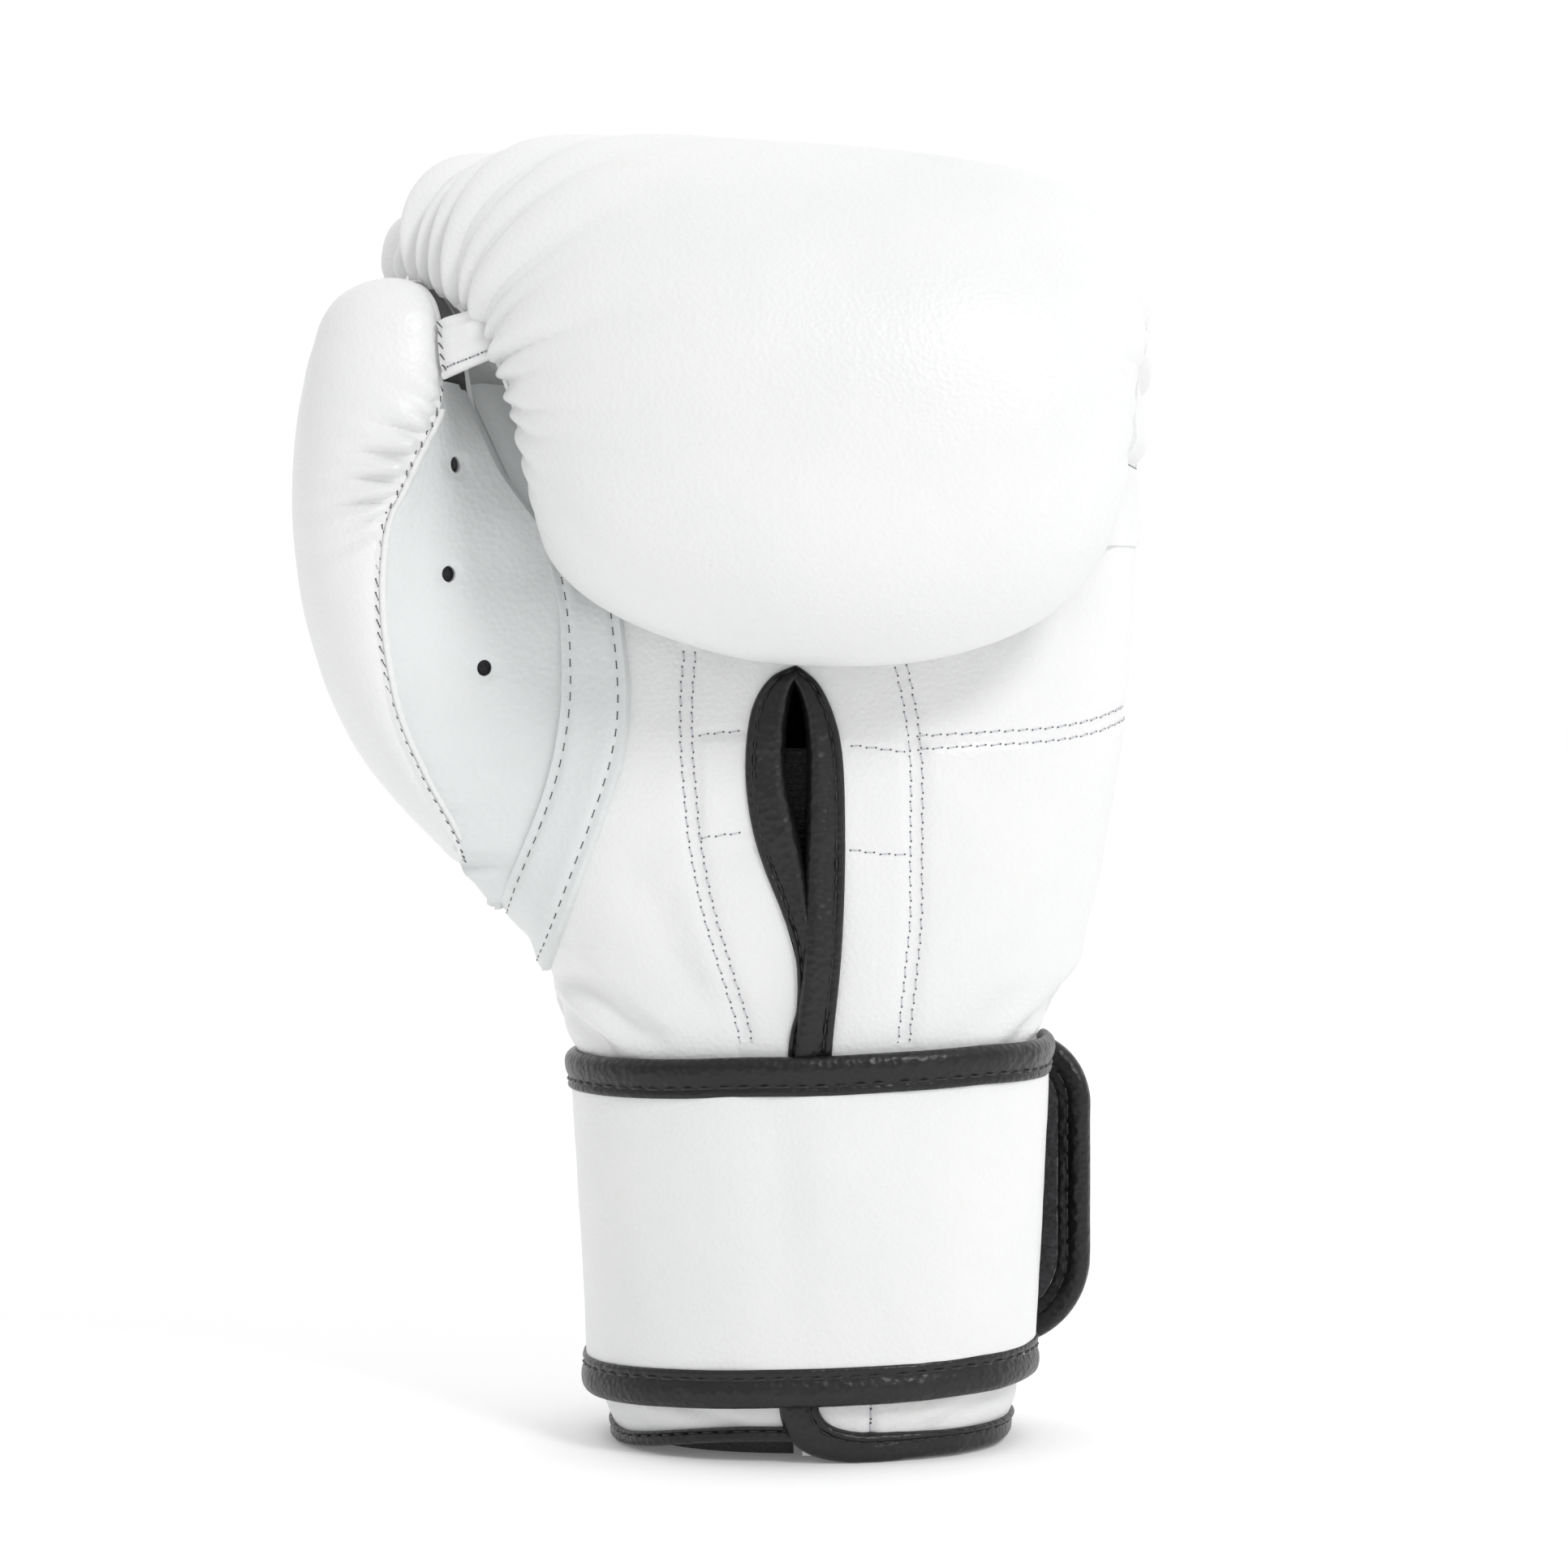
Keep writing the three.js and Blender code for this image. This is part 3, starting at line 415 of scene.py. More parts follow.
def ramp(tree, source, *stops):
    """A colour ramp; a stop is a position and a grey or a colour."""
    node = tree.nodes.new("ShaderNodeValToRGB")
    for element, (position, colour) in zip(node.color_ramp.elements, stops):
        element.position = position
        element.color = (*np.broadcast_to(colour, 3), 1)
    tree.links.new(source, node.inputs["Fac"])
    return node.outputs["Color"]


def chain_bumps(tree, shader, *layers):
    """Bump layers one after another: (height output, strength, distance in metres)."""
    target = shader.inputs["Normal"]
    for height, strength, distance in reversed(layers):
        node = tree.nodes.new("ShaderNodeBump")
        give(node, {"Strength": strength, "Distance": distance})
        tree.links.new(height, node.inputs["Height"])
        tree.links.new(node.outputs["Normal"], target)
        target = node.inputs["Normal"]


def leather(name, low, high, stain, roughness, grain, pebble, stain_amount, coat=0.0, specular=0.5):
    """Smooth coated leather: fine pebble grain, pores, soft creases, faint handling marks."""
    material, tree, shader = nodes_for(name)
    cells = texture(tree, "ShaderNodeTexVoronoi", pebble, feature="SMOOTH_F1", Smoothness=0.35)
    pores = texture(tree, "ShaderNodeTexNoise", pebble * 2.6, Detail=3.0)
    soft = texture(tree, "ShaderNodeTexNoise", 55.0, Detail=4.0, Roughness=0.55)
    creases = texture(tree, "ShaderNodeTexNoise", 140.0, Detail=5.0, Distortion=0.8)
    broad = texture(tree, "ShaderNodeTexNoise", 16.0, Detail=5.0, Roughness=0.6)
    worn = texture(tree, "ShaderNodeTexNoise", 34.0, Detail=8.0, Roughness=0.72)
    blend = tree.nodes.new("ShaderNodeMix")
    blend.data_type = "RGBA"
    tree.links.new(ramp(tree, worn, (0.60, 0), (0.76, stain_amount)), blend.inputs["Factor"])
    tree.links.new(ramp(tree, broad, (0.3, low), (0.68, high)), blend.inputs["A"])
    blend.inputs["B"].default_value = (*stain, 1)
    tree.links.new(blend.outputs["Result"], shader.inputs["Base Color"])
    rough = ramp(tree, soft, (0.25, roughness - 0.06), (0.75, roughness + 0.08))
    tree.links.new(rough, shader.inputs["Roughness"])
    give(shader, {"Coat Weight": coat, "Coat Roughness": 0.25, "Specular IOR Level": specular})
    chain_bumps(tree, shader, (cells, grain, 0.00034), (pores, grain * 0.5, 0.0001), (creases, 0.14, 0.0005),
                (soft, 0.14, 0.001))
    return material


def cloth(name, low, high, roughness, threads, strength, sheen):
    """Woven or looped textile."""
    material, tree, shader = nodes_for(name)
    fine = texture(tree, "ShaderNodeTexNoise", threads, Detail=2.0)
    cells = texture(tree, "ShaderNodeTexVoronoi", threads * 0.6)
    tree.links.new(ramp(tree, fine, (0.3, low), (0.7, high)), shader.inputs["Base Color"])
    give(shader, {"Roughness": roughness, "Sheen Weight": sheen})
    chain_bumps(tree, shader, (cells, strength, 0.0004), (fine, strength, 0.0003))
    return material


def thread(name, colour, roughness=0.55):
    """Twisted sewing thread."""
    material, tree, shader = nodes_for(name)
    twist = texture(tree, "ShaderNodeTexNoise", 5200.0, Detail=2.0)
    dark = [0.6 * c for c in colour]
    tree.links.new(ramp(tree, twist, (0.35, dark), (0.65, colour)), shader.inputs["Base Color"])
    give(shader, {"Roughness": roughness, "Sheen Weight": 0.2})
    chain_bumps(tree, shader, (twist, 0.5, 0.0001))
    return material


WHITE = leather("white_leather", (0.765, 0.77, 0.775), (0.81, 0.81, 0.81), (0.78, 0.76, 0.68), 0.40, grain=0.32,
                pebble=900.0, stain_amount=0.28, coat=0.04)
# A darker copy of the white leather with a faint teal tint of its own. Its lower brightness is painted shade for
# the recess between the thumb and the roll, on the inner panel, the gusset and the panel's rolled edge.
WHITE_INNER_PAINTED_SHADE = leather("white_leather_inner_painted_shade", (0.665, 0.69, 0.687), (0.73, 0.752, 0.749), (0.68, 0.69, 0.66),
                      0.46, grain=0.4, pebble=700.0, stain_amount=0.3)
BLACK = leather("black_leather_tape", (0.005, 0.005, 0.006), (0.012, 0.012, 0.013), (0.03, 0.03, 0.03), 0.34,
                grain=0.65, pebble=650.0, stain_amount=0.5, specular=0.42)
THREAD = thread("grey_thread", (0.42, 0.43, 0.47))
THREAD_PALE = thread("pale_thread", (0.7, 0.71, 0.76))
# Dark discs at the stitches' ends: painted shade in the needle holes.
HOLE_SHADE = thread("needle_hole_shade", (0.12, 0.12, 0.13), 0.9)
THREAD_DARK = thread("dark_thread", (0.07, 0.07, 0.08))
THREAD_BLACK = thread("black_thread", (0.012, 0.012, 0.013), 0.45)
LINING = cloth("black_lining", (0.012, 0.012, 0.014), (0.03, 0.03, 0.034), 0.75, 1600.0, 0.5, 0.35)
HOOKS = cloth("hook_tape", (0.008, 0.008, 0.009), (0.045, 0.045, 0.05), 0.85, 900.0, 1.0, 0.6)
ELASTIC = cloth("black_elastic", (0.01, 0.01, 0.011), (0.03, 0.03, 0.032), 0.8, 1200.0, 0.8, 0.3)


# ---- fist: outer leather
def outer_panel(t, u, side=0.0, sink=0.0):
    """The outer panel at stations t and shares u across, drawn in at the sides and sunk towards the seams."""
    mid_y, mid_z, seam_y, seam_z, left, right, square, lean = np.moveaxis(spline(STATIONS, t), -1, 0)
    angle = (u - 0.5) * math.pi
    rise = np.maximum(np.cos(angle), 0) ** (2 / square)
    x = (left + right) / 2 + ((right - left) / 2 - side) * power(np.sin(angle), 2 / square)
    y = mix(seam_y, mix(mid_y, seam_y, sink), rise)
    z = mix(seam_z, mix(mid_z, seam_z, sink), rise)
    return np.stack([x, y, z - lean * x], axis=-1)


fist_t = np.linspace(0, 1, 470)
fist = np.stack([resample(line, 320) for line in outer_panel(fist_t[:, None], np.linspace(0, 1, 900))])
fist_n = outward(fist, [-8, -8, 200.0])
# Distances from the two side seams, and along each seam.
from_left = lengths(fist)
from_right = from_left[:, -1:] - from_left
run_left, run_right = lengths(fist[:, 0]), lengths(fist[:, -1])
station = fist_t * (len(STATIONS) - 1)


def gathers(run, distance, table, pitch, sharp, skew=0.0, lean_table=((0, 0), (16, 0))):
    """Gathers that start at a seam: narrow valleys of their own depth and length, with full ridges between."""
    keys, depths, reaches = zip(*table)
    total = np.zeros_like(distance)
    at = run[0] + pitch
    while at < run[-1] - pitch:
        here = np.interp(at, run, station)
        depth = np.interp(here, keys, depths) * rng.uniform(0.7, 1.3)
        reach = np.interp(here, keys, reaches) * rng.uniform(0.6, 1.25)
        spread = sharp * rng.uniform(0.8, 1.4)
        bend = np.interp(here, *zip(*lean_table)) + skew * rng.uniform(-0.06, 0.06)
        near = np.abs(run[:, None] - at + bend * distance)
        grow = spread * (1 + distance / 34)
        fade = bell(distance, reach, 1.7)
        total += depth * fade * (0.3 * bell(near - 2.4 * grow, 1.5 * grow) - bell(near, grow, 1.2))
        at += pitch * rng.uniform(0.65, 1.35)
    return total


def seam_pull(distance):
    """How far a side seam pulls the leather in, at a distance from it."""
    return 1.7 * bell(distance, 2.2, 1.3) + 0.7 * np.exp(-distance / 9)


height = gathers(run_left, from_left, LEFT_GATHERS, 4.4, 0.78, 1.0, LEFT_LEAN)
height += gathers(run_right, from_right, RIGHT_GATHERS, 7.0, 1.3)
# One pleat at the little-finger end of the roll.
from_pleat = run_right[:, None] - np.interp(11.2, station, run_right)
height -= 3.4 * bell(from_pleat, 2.2) * bell(from_right, 13)
height += 1.2 * bell(from_pleat + 6, 3.0) * bell(from_right, 15)
height -= seam_pull(from_left) + seam_pull(from_right)
# Soft unevenness of foam under leather. The roll's lip is a little lumpy where it is closed.
height += 0.75 * noise(fist, 46, 1) + 0.3 * noise(fist, 19, 2)
height += bell(16 - station[:, None], 1.1) * (0.5 * noise(fist, 12, 3) - 0.4)
fist_outer = fist + fist_n * height[..., None]
fist_inner = fist - fist_n * 1.6
# Below the first station the leather runs on under the strap.
skirt = np.linspace(0, 1, 9)[:-1, None, None]
foot = fist_outer[:1] * [0.94, 0.985, 0] + [0, 0, 82.5]
fist_skirted = np.concatenate([mix(foot, fist_outer[:1], skirt), fist_outer])
fist_inner = np.concatenate([mix(foot * [0.985, 0.985, 1], fist_inner[:1], skirt), fist_inner])
fist_skin = slab("fist_leather", fist_skirted, fist_inner, WHITE)
keep(fist_skin, "glove", "fist_shell", "fist_foam")


# ---- palm
def palm_half(z):
    left, right = along(SEAM_LEFT, z), along(SEAM_RIGHT, z)
    return (left + right) / 2, (right - left) / 2


def palm_across(x, z):
    centre, half = palm_half(z)
    return np.arcsin(power(np.clip((x - centre) / half, -1, 1), PALM_SQUARE / 2))


def palm_point(across, z, deep=0.0):
    centre, half = palm_half(z)
    x = centre + (half - deep) * power(np.sin(across), 2 / PALM_SQUARE)
    rise = np.maximum(np.cos(across), 0) ** (2 / PALM_SQUARE)
    y = mix(along(SEAM_Y, z) - 0.3, along(PALM_MID, z) + deep, rise)
    return np.stack(np.broadcast_arrays(x, y, z), axis=-1)


def palm_at(x, z, deep=0.0):
    x, z = np.broadcast_arrays(np.asarray(x, float), np.asarray(z, float))
    return palm_point(palm_across(x, z), z, deep)


def fold(x, z, start, end, width, depth):
    """A crease from start to end: a valley with a soft ridge beside it, fading at both ends."""
    (x0, z0), (x1, z1) = start, end
    length = math.hypot(x1 - x0, z1 - z0)
    ux, uz = (x1 - x0) / length, (z1 - z0) / length
    run = (x - x0) * ux + (z - z0) * uz
    off = (z - z0) * ux - (x - x0) * uz
    fade = step(-0.15 * length, 0.3 * length, run) * (1 - step(0.55 * length, 1.1 * length, run))
    ridges = 0.55 * bell(off - 1.7 * width, 1.2 * width) + 0.35 * bell(off + 2 * width, 1.4 * width)
    return fade * depth * (ridges - bell(off, width))


def line_distance(x, z, points):
    """Distance in the x, z plane to a smooth line."""
    line = smooth_line(points, 1.0)
    p = np.stack([x.ravel(), z.ravel()], axis=1)
    best = np.full(len(p), 1e9)
    for a, b in zip(line[:-1], line[1:]):
        t = np.clip(((p - a) @ (b - a)) / ((b - a) @ (b - a)), 0, 1)
        best = np.minimum(best, np.linalg.norm(p - a - t[:, None] * (b - a), axis=1))
    return best.reshape(x.shape)


def palm_height(x, z):
    """Relief shared by all palm panels: seams pressed in, creases near the wrist, softness of the padding."""
    at = np.stack([x, np.zeros_like(x), z], axis=-1)
    h = 0.8 * noise(at, 38, 5) + 0.32 * noise(at, 15, 6) + 0.1 * noise(at, 6, 7)
    for name, line in DOUBLE_ROWS.items():
        h -= 0.85 * bell(line_distance(x, z, line), 2.2 if name == "side" else 2.3)
    for line in FRAME_ROWS.values():
        h -= 0.3 * bell(line_distance(x, z, line), 1.0)
    # The stiffened frame between the double rows and the tape stands a little proud.
    h += 0.35 * step(131, 133.5, z) * (1 - step(153, 155.5, z)) * step(-24, -22, x) * (1 - step(19, 21, x))
    return h + sum(fold(x, z, *crease) for crease in FOLDS)


def palm_panel(name, low, high, seam_a, seam_b, sides=(False, False)):
    """One leather panel. sides: that edge is a side seam, which turns in."""
    pitch = 0.75
    rows = int((high - low) / pitch) + 1
    z = np.linspace(low, high, rows)
    a, b = seam_a(z), seam_b(z)
    cols = int(np.abs(b - a).max() * 1.25 / pitch) + 2
    across_a, across_b = palm_across(a, z), palm_across(b, z)
    across = across_a[:, None] + (across_b - across_a)[:, None] * np.linspace(0, 1, cols)
    zz = np.broadcast_to(z[:, None], across.shape)
    base = np.stack([resample(line, cols) for line in palm_point(across, zz)])
    n = palmward(base)
    h = palm_height(base[..., 0], base[..., 2])
    run = lengths(base)
    for turned_in, distance in zip(sides, (run, run[:, -1:] - run)):
        if turned_in:
            h -= seam_pull(distance)
            h += 0.25 * np.exp(-distance / 5) * noise(np.stack([zz, zz * 0, zz * 0], -1), 3.5, 11)
    inner = base + n * (np.minimum(h, 0.2) - 1.5)[..., None]
    keep(slab(name, base + n * h[..., None], inner, WHITE), "glove", name)


def edge(points, by=0.0):
    return lambda z: along(points, z) + by


def thumb_side_edge(z):
    return np.maximum(along(SEAM_LEFT, z), along(GUSSET_OUTER, z) - 3.5)


palm_panel("palm_thumb_side", PALM_LOW, PALM_HIGH, thumb_side_edge, edge(FACING_LEFT), (True, False))
palm_panel("slit_facing_left", PALM_LOW, PALM_HIGH, edge(FACING_LEFT, -0.05), edge(SLIT_LEFT))
palm_panel("slit_facing_right", PALM_LOW, PALM_HIGH, edge(SLIT_RIGHT), edge(FACING_RIGHT, 0.05))
palm_panel("palm_lower_outer", PALM_LOW, SIDE_SEAM_Z, edge(FACING_RIGHT), edge(SEAM_RIGHT), (False, True))
palm_panel("palm_upper_outer", SIDE_SEAM_Z, PALM_HIGH, edge(FACING_RIGHT), edge(SEAM_RIGHT), (False, True))


def surface_row(name, points, by):
    """A row of stitches on the palm, beside a line."""
    line = smooth_line(points, 1.0)
    way = unit(np.gradient(line, axis=0))
    x, z = (line + by * np.stack([-way[:, 1], way[:, 0]], axis=1)).T
    centre, half = palm_half(z)
    n = normal_at(palm_at, np.clip(x, centre - half * 0.985 + 0.4, centre + half * 0.985 - 0.4), z, 0.4)
    at = palm_at(x, z) + n * palm_height(x, z)[:, None]
    keep(stitches(name, at, n, THREAD_PALE, length=1.9, slant=0.22, holes=0.2), "glove")


for name, line in DOUBLE_ROWS.items():
    apart = 1.4 if name == "side" else 1.25
    surface_row(f"stitches_{name}_a", line, -apart)
    surface_row(f"stitches_{name}_b", line, apart)
for name, line in FRAME_ROWS.items():
    surface_row(f"stitches_frame_{name}", line, 0)

# ---- gusset beside the thumb
# It carries on upwards behind the roll, where it turns in towards the fingers.
GUSSET_IN = smooth_line(GUSSET_INNER + [(-58.2, 195.5), (-64.2, 206.5), (-69.0, 216.5), (-75.0, 229.5)], 0.7)
GUSSET_OUT = smooth_line([(-57.2, 103), (-51.2, 117.6), (-43.3, 138.5), (-39.3, 152), (-38.5, 165),
                          (-40.5, 184), (-41.5, 196), (-44, 208), (-50, 220), (-57, 230)], 0.7)
u = np.linspace(0, 1, 26)
gusset_in, gusset_out = resample(GUSSET_IN, 190)[:, None], resample(GUSSET_OUT, 190)[:, None]
gx, gz = np.moveaxis(mix(gusset_in, gusset_out, u[:, None]), -1, 0)
gusset = palm_at(gx, np.minimum(gz, 200.0))
gusset[..., 2] = gz
# Above the grip line the strip turns back into the fist.
gusset[..., 1] += 11.0 * step(178, 220, gz) * (0.3 + 0.7 * u) + 6.0 * step(178, 200, gz) * u
gusset[..., 1] -= 2.5 * step(200, 226, gz) * (1 - u)
gusset_n = palmward(gusset)
run = lengths(gusset)
height = palm_height(gx, gz) * 0.6 + 0.1
for distance in (run, run[:, -1:] - run):
    height += 1.25 * np.sqrt(np.clip(distance / 0.8, 0, 1)) * bell(np.maximum(distance - 3.5, 0), 5)
    height -= 0.5 * bell(distance - 2.3, 0.9)
gusset_outer = gusset + gusset_n * height[..., None]
# The gusset uses the darker inner leather: painted shade of the recess beside the thumb.
keep(slab("thumb_gusset", gusset_outer, gusset - gusset_n * 1.2, WHITE_INNER_PAINTED_SHADE), "glove",
     "thumb_gusset")
for name, column in (("stitches_gusset_in", 4), ("stitches_gusset_out", 21)):
    keep(stitches(name, gusset_outer[:150, column], gusset_n[:150, column], THREAD_DARK, pitch=3.6, length=1.35,
                  radius=0.13, holes=0.18), "glove")


# ---- thumb
def thumb_point(z, u):
    """The thumb's outside, from its back (u = 0) round to its seam (u = 1)."""
    rise = np.clip((z - THUMB_SHOULDER) / (THUMB_TIP - THUMB_SHOULDER), 0, 1)
    dome = (1 - rise**2.35) ** (1 / 2.35)
    at = np.minimum(z, THUMB_SHOULDER + 6)
    left, right, front, back = (along(THUMB[:, [k, 0]], at) for k in (1, 2, 3, 4))
    near_tip = mix(-77, -76, np.clip((z - 226) / 22, 0, 1))
    seam = np.where(z < 226, along(THUMB_SEAM, np.minimum(z, 226)), near_tip)
    start = math.radians(THUMB_START)
    seam_at = 2 * math.pi - np.arccos(np.clip((seam - (left + right) / 2) / ((right - left) / 2), -0.95, 0.8))
    angle = mix(start, seam_at, u)
    half_x, half_y = np.maximum((right - left) / 2, 0.8) * dome, np.maximum((back - front) / 2, 0.8) * dome
    x = (left + right) / 2 + 3.5 * (1 - dome) + half_x * power(np.cos(angle), 2 / 2.3)
    y = (front + back) / 2 + half_y * power(np.sin(angle), 2 / 2.3)
    return np.stack(np.broadcast_arrays(x, y, z), axis=-1)


def thumb_piece(thing, *stands_for):
    """Bakes a thumb piece's placement into its mesh and hides the parts it stands for."""
    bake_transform(thing)
    if stands_for:
        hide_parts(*stands_for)
    return thing


thumb_z = np.concatenate([np.linspace(116.5, THUMB_SHOULDER, 170)[:-1],
                          mix(THUMB_SHOULDER, THUMB_TIP, np.sin(np.linspace(0, math.pi / 2, 61)))])
# A hair's breadth keeps the points of a row apart at the very tip.
hair = np.arange(400)[:, None] * [1e-5, 0, 0]
round_it = np.linspace(0, 1, 400)
thumb = np.stack([resample(thumb_point(np.full(400, z), round_it) + hair, 170) for z in thumb_z])
thumb_n = outward(thumb, [-85, -22, 185.0])
run = lengths(thumb[:, -1])
from_back = lengths(thumb)
to_seam = from_back[:, -1:] - from_back
height = np.zeros_like(to_seam)
at = 0.0
while at < run[-1] - 4:
    z_here = np.interp(at, run, thumb_z)
    reach = (10 * bell(z_here - 211, 15) + 3.5) * rng.uniform(0.7, 1.3)
    depth = (4.3 * bell(z_here - 211, 12) + 0.1) * rng.uniform(0.6, 1.15)
    fan = 0.022 * (z_here - 207) + rng.uniform(-0.08, 0.08)
    near = np.abs(run[:, None] - at - fan * to_seam)
    grow = 0.85 * (1 + to_seam / 14)
    fade = bell(to_seam, reach, 1.8) * (0.3 + 0.7 * step(0, 3.5, to_seam))
    height += depth * fade * (0.4 * bell(near - 2.5 * grow, 1.7 * grow) - bell(near, grow, 1.4))
    at += rng.uniform(3.6, 5.2)
height -= 1.3 * bell(to_seam, 1.9, 1.3) + 0.8 * np.exp(-to_seam / 8) + 0.9 * bell(from_back, 2.5, 1.3)
height += (0.55 * noise(thumb, 40, 21) + 0.2 * noise(thumb, 14, 22)) * (1 - step(246, 251, thumb[..., 2]))
height += 0.7 * bell(thumb[..., 2] - 158, 22) * bell(to_seam - 26, 16)
height *= 0.15 + 0.85 * step(117, 130, thumb[..., 2])
thumb_outer = thumb + thumb_n * height[..., None]
thumb_inner = thumb - thumb_n * 1.5
for face in (thumb_outer, thumb_inner):
    face[-1] = face[-1].mean(axis=0)
thumb_skin = slab("thumb_leather", thumb_outer, thumb_inner, WHITE)
thumb_piece(thumb_skin, "thumb_shell", "thumb_foam")

# Inner panel: from the thumb seam to the gusset's edge, with three punched vents.
pz = np.linspace(116.8, 229.5, 210)
seam_line = np.stack([np.interp(pz, thumb_outer[:, -1, 2], thumb_outer[:, -1, k]) for k in range(3)], axis=1)
kernel = bell(np.arange(-30, 31), 12.0)
kernel /= kernel.sum()
widened = np.pad(seam_line, [(30, 30), (0, 0)], mode="reflect", reflect_type="odd")
calm = np.stack([np.convolve(column, kernel, "valid") for column in widened.T], axis=1)
right_x = np.interp(pz, GUSSET_IN[:, 1], GUSSET_IN[:, 0]) + 2.5 * (1 - step(196, 214, pz))
right_y = palm_at(right_x, np.minimum(pz, 198))[:, 1] - 7.0 * step(186, 222, pz) + 0.9
u = np.linspace(0, 1, 90)[:, None]
low_end = (1 - step(127, 138, pz))[:, None]
# Low down it covers the end of the thumb's leather and reaches the glove's outline.
brink = np.stack([-68.9 - 0.712 * (pz - 116.8), -10 - 1.48 * (pz - 116.8), pz], axis=1)
tucked = mix(seam_line + [-1.7, -1.6, 0], brink, (1 - step(122, 128, pz))[:, None])
start_line = mix(calm + [0.4, 0.25, 0], tucked, low_end)
panel = mix(start_line[:, None], np.stack([right_x, right_y, pz], axis=1)[:, None], u)
panel += ((seam_line - calm) * (1 - low_end))[:, None] * np.exp(-u * 22)
fullness = (0.4 + 0.6 * step(130, 165, pz)) * (1 - 0.5 * step(205, 228, pz))
panel[..., 1] += 2.6 * np.sin(math.pi * u[:, 0]) * fullness[:, None]
panel_n = palmward(panel)
run = lengths(panel)
height = 0.5 * noise(panel, 30, 31) + 0.18 * noise(panel, 11, 32) - 0.7 * bell(run, 1.8, 1.4)
at = 0.0
while at < 105:
    near = np.abs(pz[:, None] - 122 - at + 0.1 * run)
    height -= 0.3 * rng.uniform(0.3, 1.2) * bell(near, 1.0, 1.4) * bell(run, 3.5, 1.5)
    at += rng.uniform(4, 7)
vent_spots = []
for vent_x, vent_z in VENTS:
    distance = np.hypot(panel[..., 0] - vent_x, panel[..., 2] - vent_z)
    height -= 0.5 * bell(distance - 1.6, 1.1)
    vent_spots.append(np.unravel_index(np.argmin(distance), distance.shape))
panel_outer = panel + panel_n * height[..., None]
# The inner panel uses the darker inner leather: painted shade of the recess under the roll.
inner_panel = slab("thumb_inner_panel", panel_outer, panel_outer - panel_n * 1.5, WHITE_INNER_PAINTED_SHADE)
for spot in vent_spots:
    side = unit(np.cross(panel_n[spot], [0, 0, 1.0]))
    ring = panel[spot] + 1.75 * circle(18, side * 0.9, np.cross(side, panel_n[spot]))
    ends = np.concatenate([ring + panel_n[spot] * 4, ring - panel_n[spot] * 6])
    walls = [[j, (j + 1) % 18, 18 + (j + 1) % 18, 18 + j] for j in range(18)]
    drill = bpy.data.meshes.new("drill")
    drill.from_pydata([tuple(p) for p in row(ends)], [], [list(range(17, -1, -1)), list(range(18, 36))] + walls)
    tool = bpy.data.objects.new("drill", drill)
    bpy.context.scene.collection.objects.link(tool)
    cut = inner_panel.modifiers.new("vent", "BOOLEAN")
    cut.operation, cut.solver, cut.object = "DIFFERENCE", "EXACT", tool
    bpy.context.view_layer.update()
    done = bpy.data.meshes.new_from_object(inner_panel.evaluated_get(bpy.context.evaluated_depsgraph_get()))
    inner_panel.modifiers.clear()
    old = inner_panel.data
    inner_panel.data = done
    bpy.data.meshes.remove(old)
    bpy.data.objects.remove(tool)
    bpy.data.meshes.remove(drill)
for polygon in inner_panel.data.polygons:
    polygon.use_smooth = True
thumb_piece(inner_panel, "thumb_inner_panel")

# The panel's free edge rolls back into the recess behind the roll.
back_in = np.linspace(0, 1, 14)[None, :]
edge_z = pz[::3, None]
aside = 1.3 * np.sin(back_in * math.pi / 2) * step(186, 200, edge_z) - 0.1
behind = (0.4 + 11.5 * step(184, 212, edge_z)) * back_in**1.4
rolled = panel_outer[::3, -1:] + np.stack([aside, behind, 0 * behind], axis=2)
rolled_n = outward(rolled, [-75, 0, 190.0])
# The rolled edge uses the darker inner leather: painted shade of the recess behind the roll.
thumb_piece(slab("thumb_panel_edge", rolled, rolled - rolled_n * 1.2, WHITE_INNER_PAINTED_SHADE))

# The dark inside seen through the vents.
behind = panel[84:196:6, 20:70:6]
thumb_piece(slab("thumb_vent_backing", behind + [0, 2.6, 0], behind + [0, 3.4, 0], LINING))

# Thumb seam: short stitches in the valley, across the seam.
valley = (thumb_outer[:, -1] + thumb_outer[:, -2]) / 2
valley_n = unit(thumb_n[:, -3] + [0.2, -1.0, 0])
pick = (valley[:, 2] > 124) & (valley[:, 2] < 243)
thumb_piece(stitches("stitches_thumb_seam", (valley + valley_n * 0.25)[pick], valley_n[pick], THREAD_DARK,
                     pitch=2.9, length=1.45, radius=0.15, slant=0.5, holes=0.2))

# Rolled allowance that closes the thumb seam from behind.
welt = (seam_line[12:200:3] + [0.3, 1.6, 0])[:, None] + circle(12, [1.3, 0, 0], [0, 1.3, 0])
thumb_piece(tube("thumb_seam_welt", welt, WHITE))

# Seam allowance seen down in the side seams.
for name, table, inward in (("side_seam_welt_left", SEAM_LEFT, 1), ("side_seam_welt_right", SEAM_RIGHT, -1)):
    z = np.linspace(83.5, 197, 160)
    spine = np.stack([along(table, z) + inward * 3.1, along(SEAM_Y, z) - 0.1, z], axis=1)
    ring = spine[:, None] + circle(12, [2.1, 0, 0], [0, 2.73, 0])
    keep(tube(name, ring + 0.2 * noise(ring, 5, 33)[..., None], WHITE), "glove")


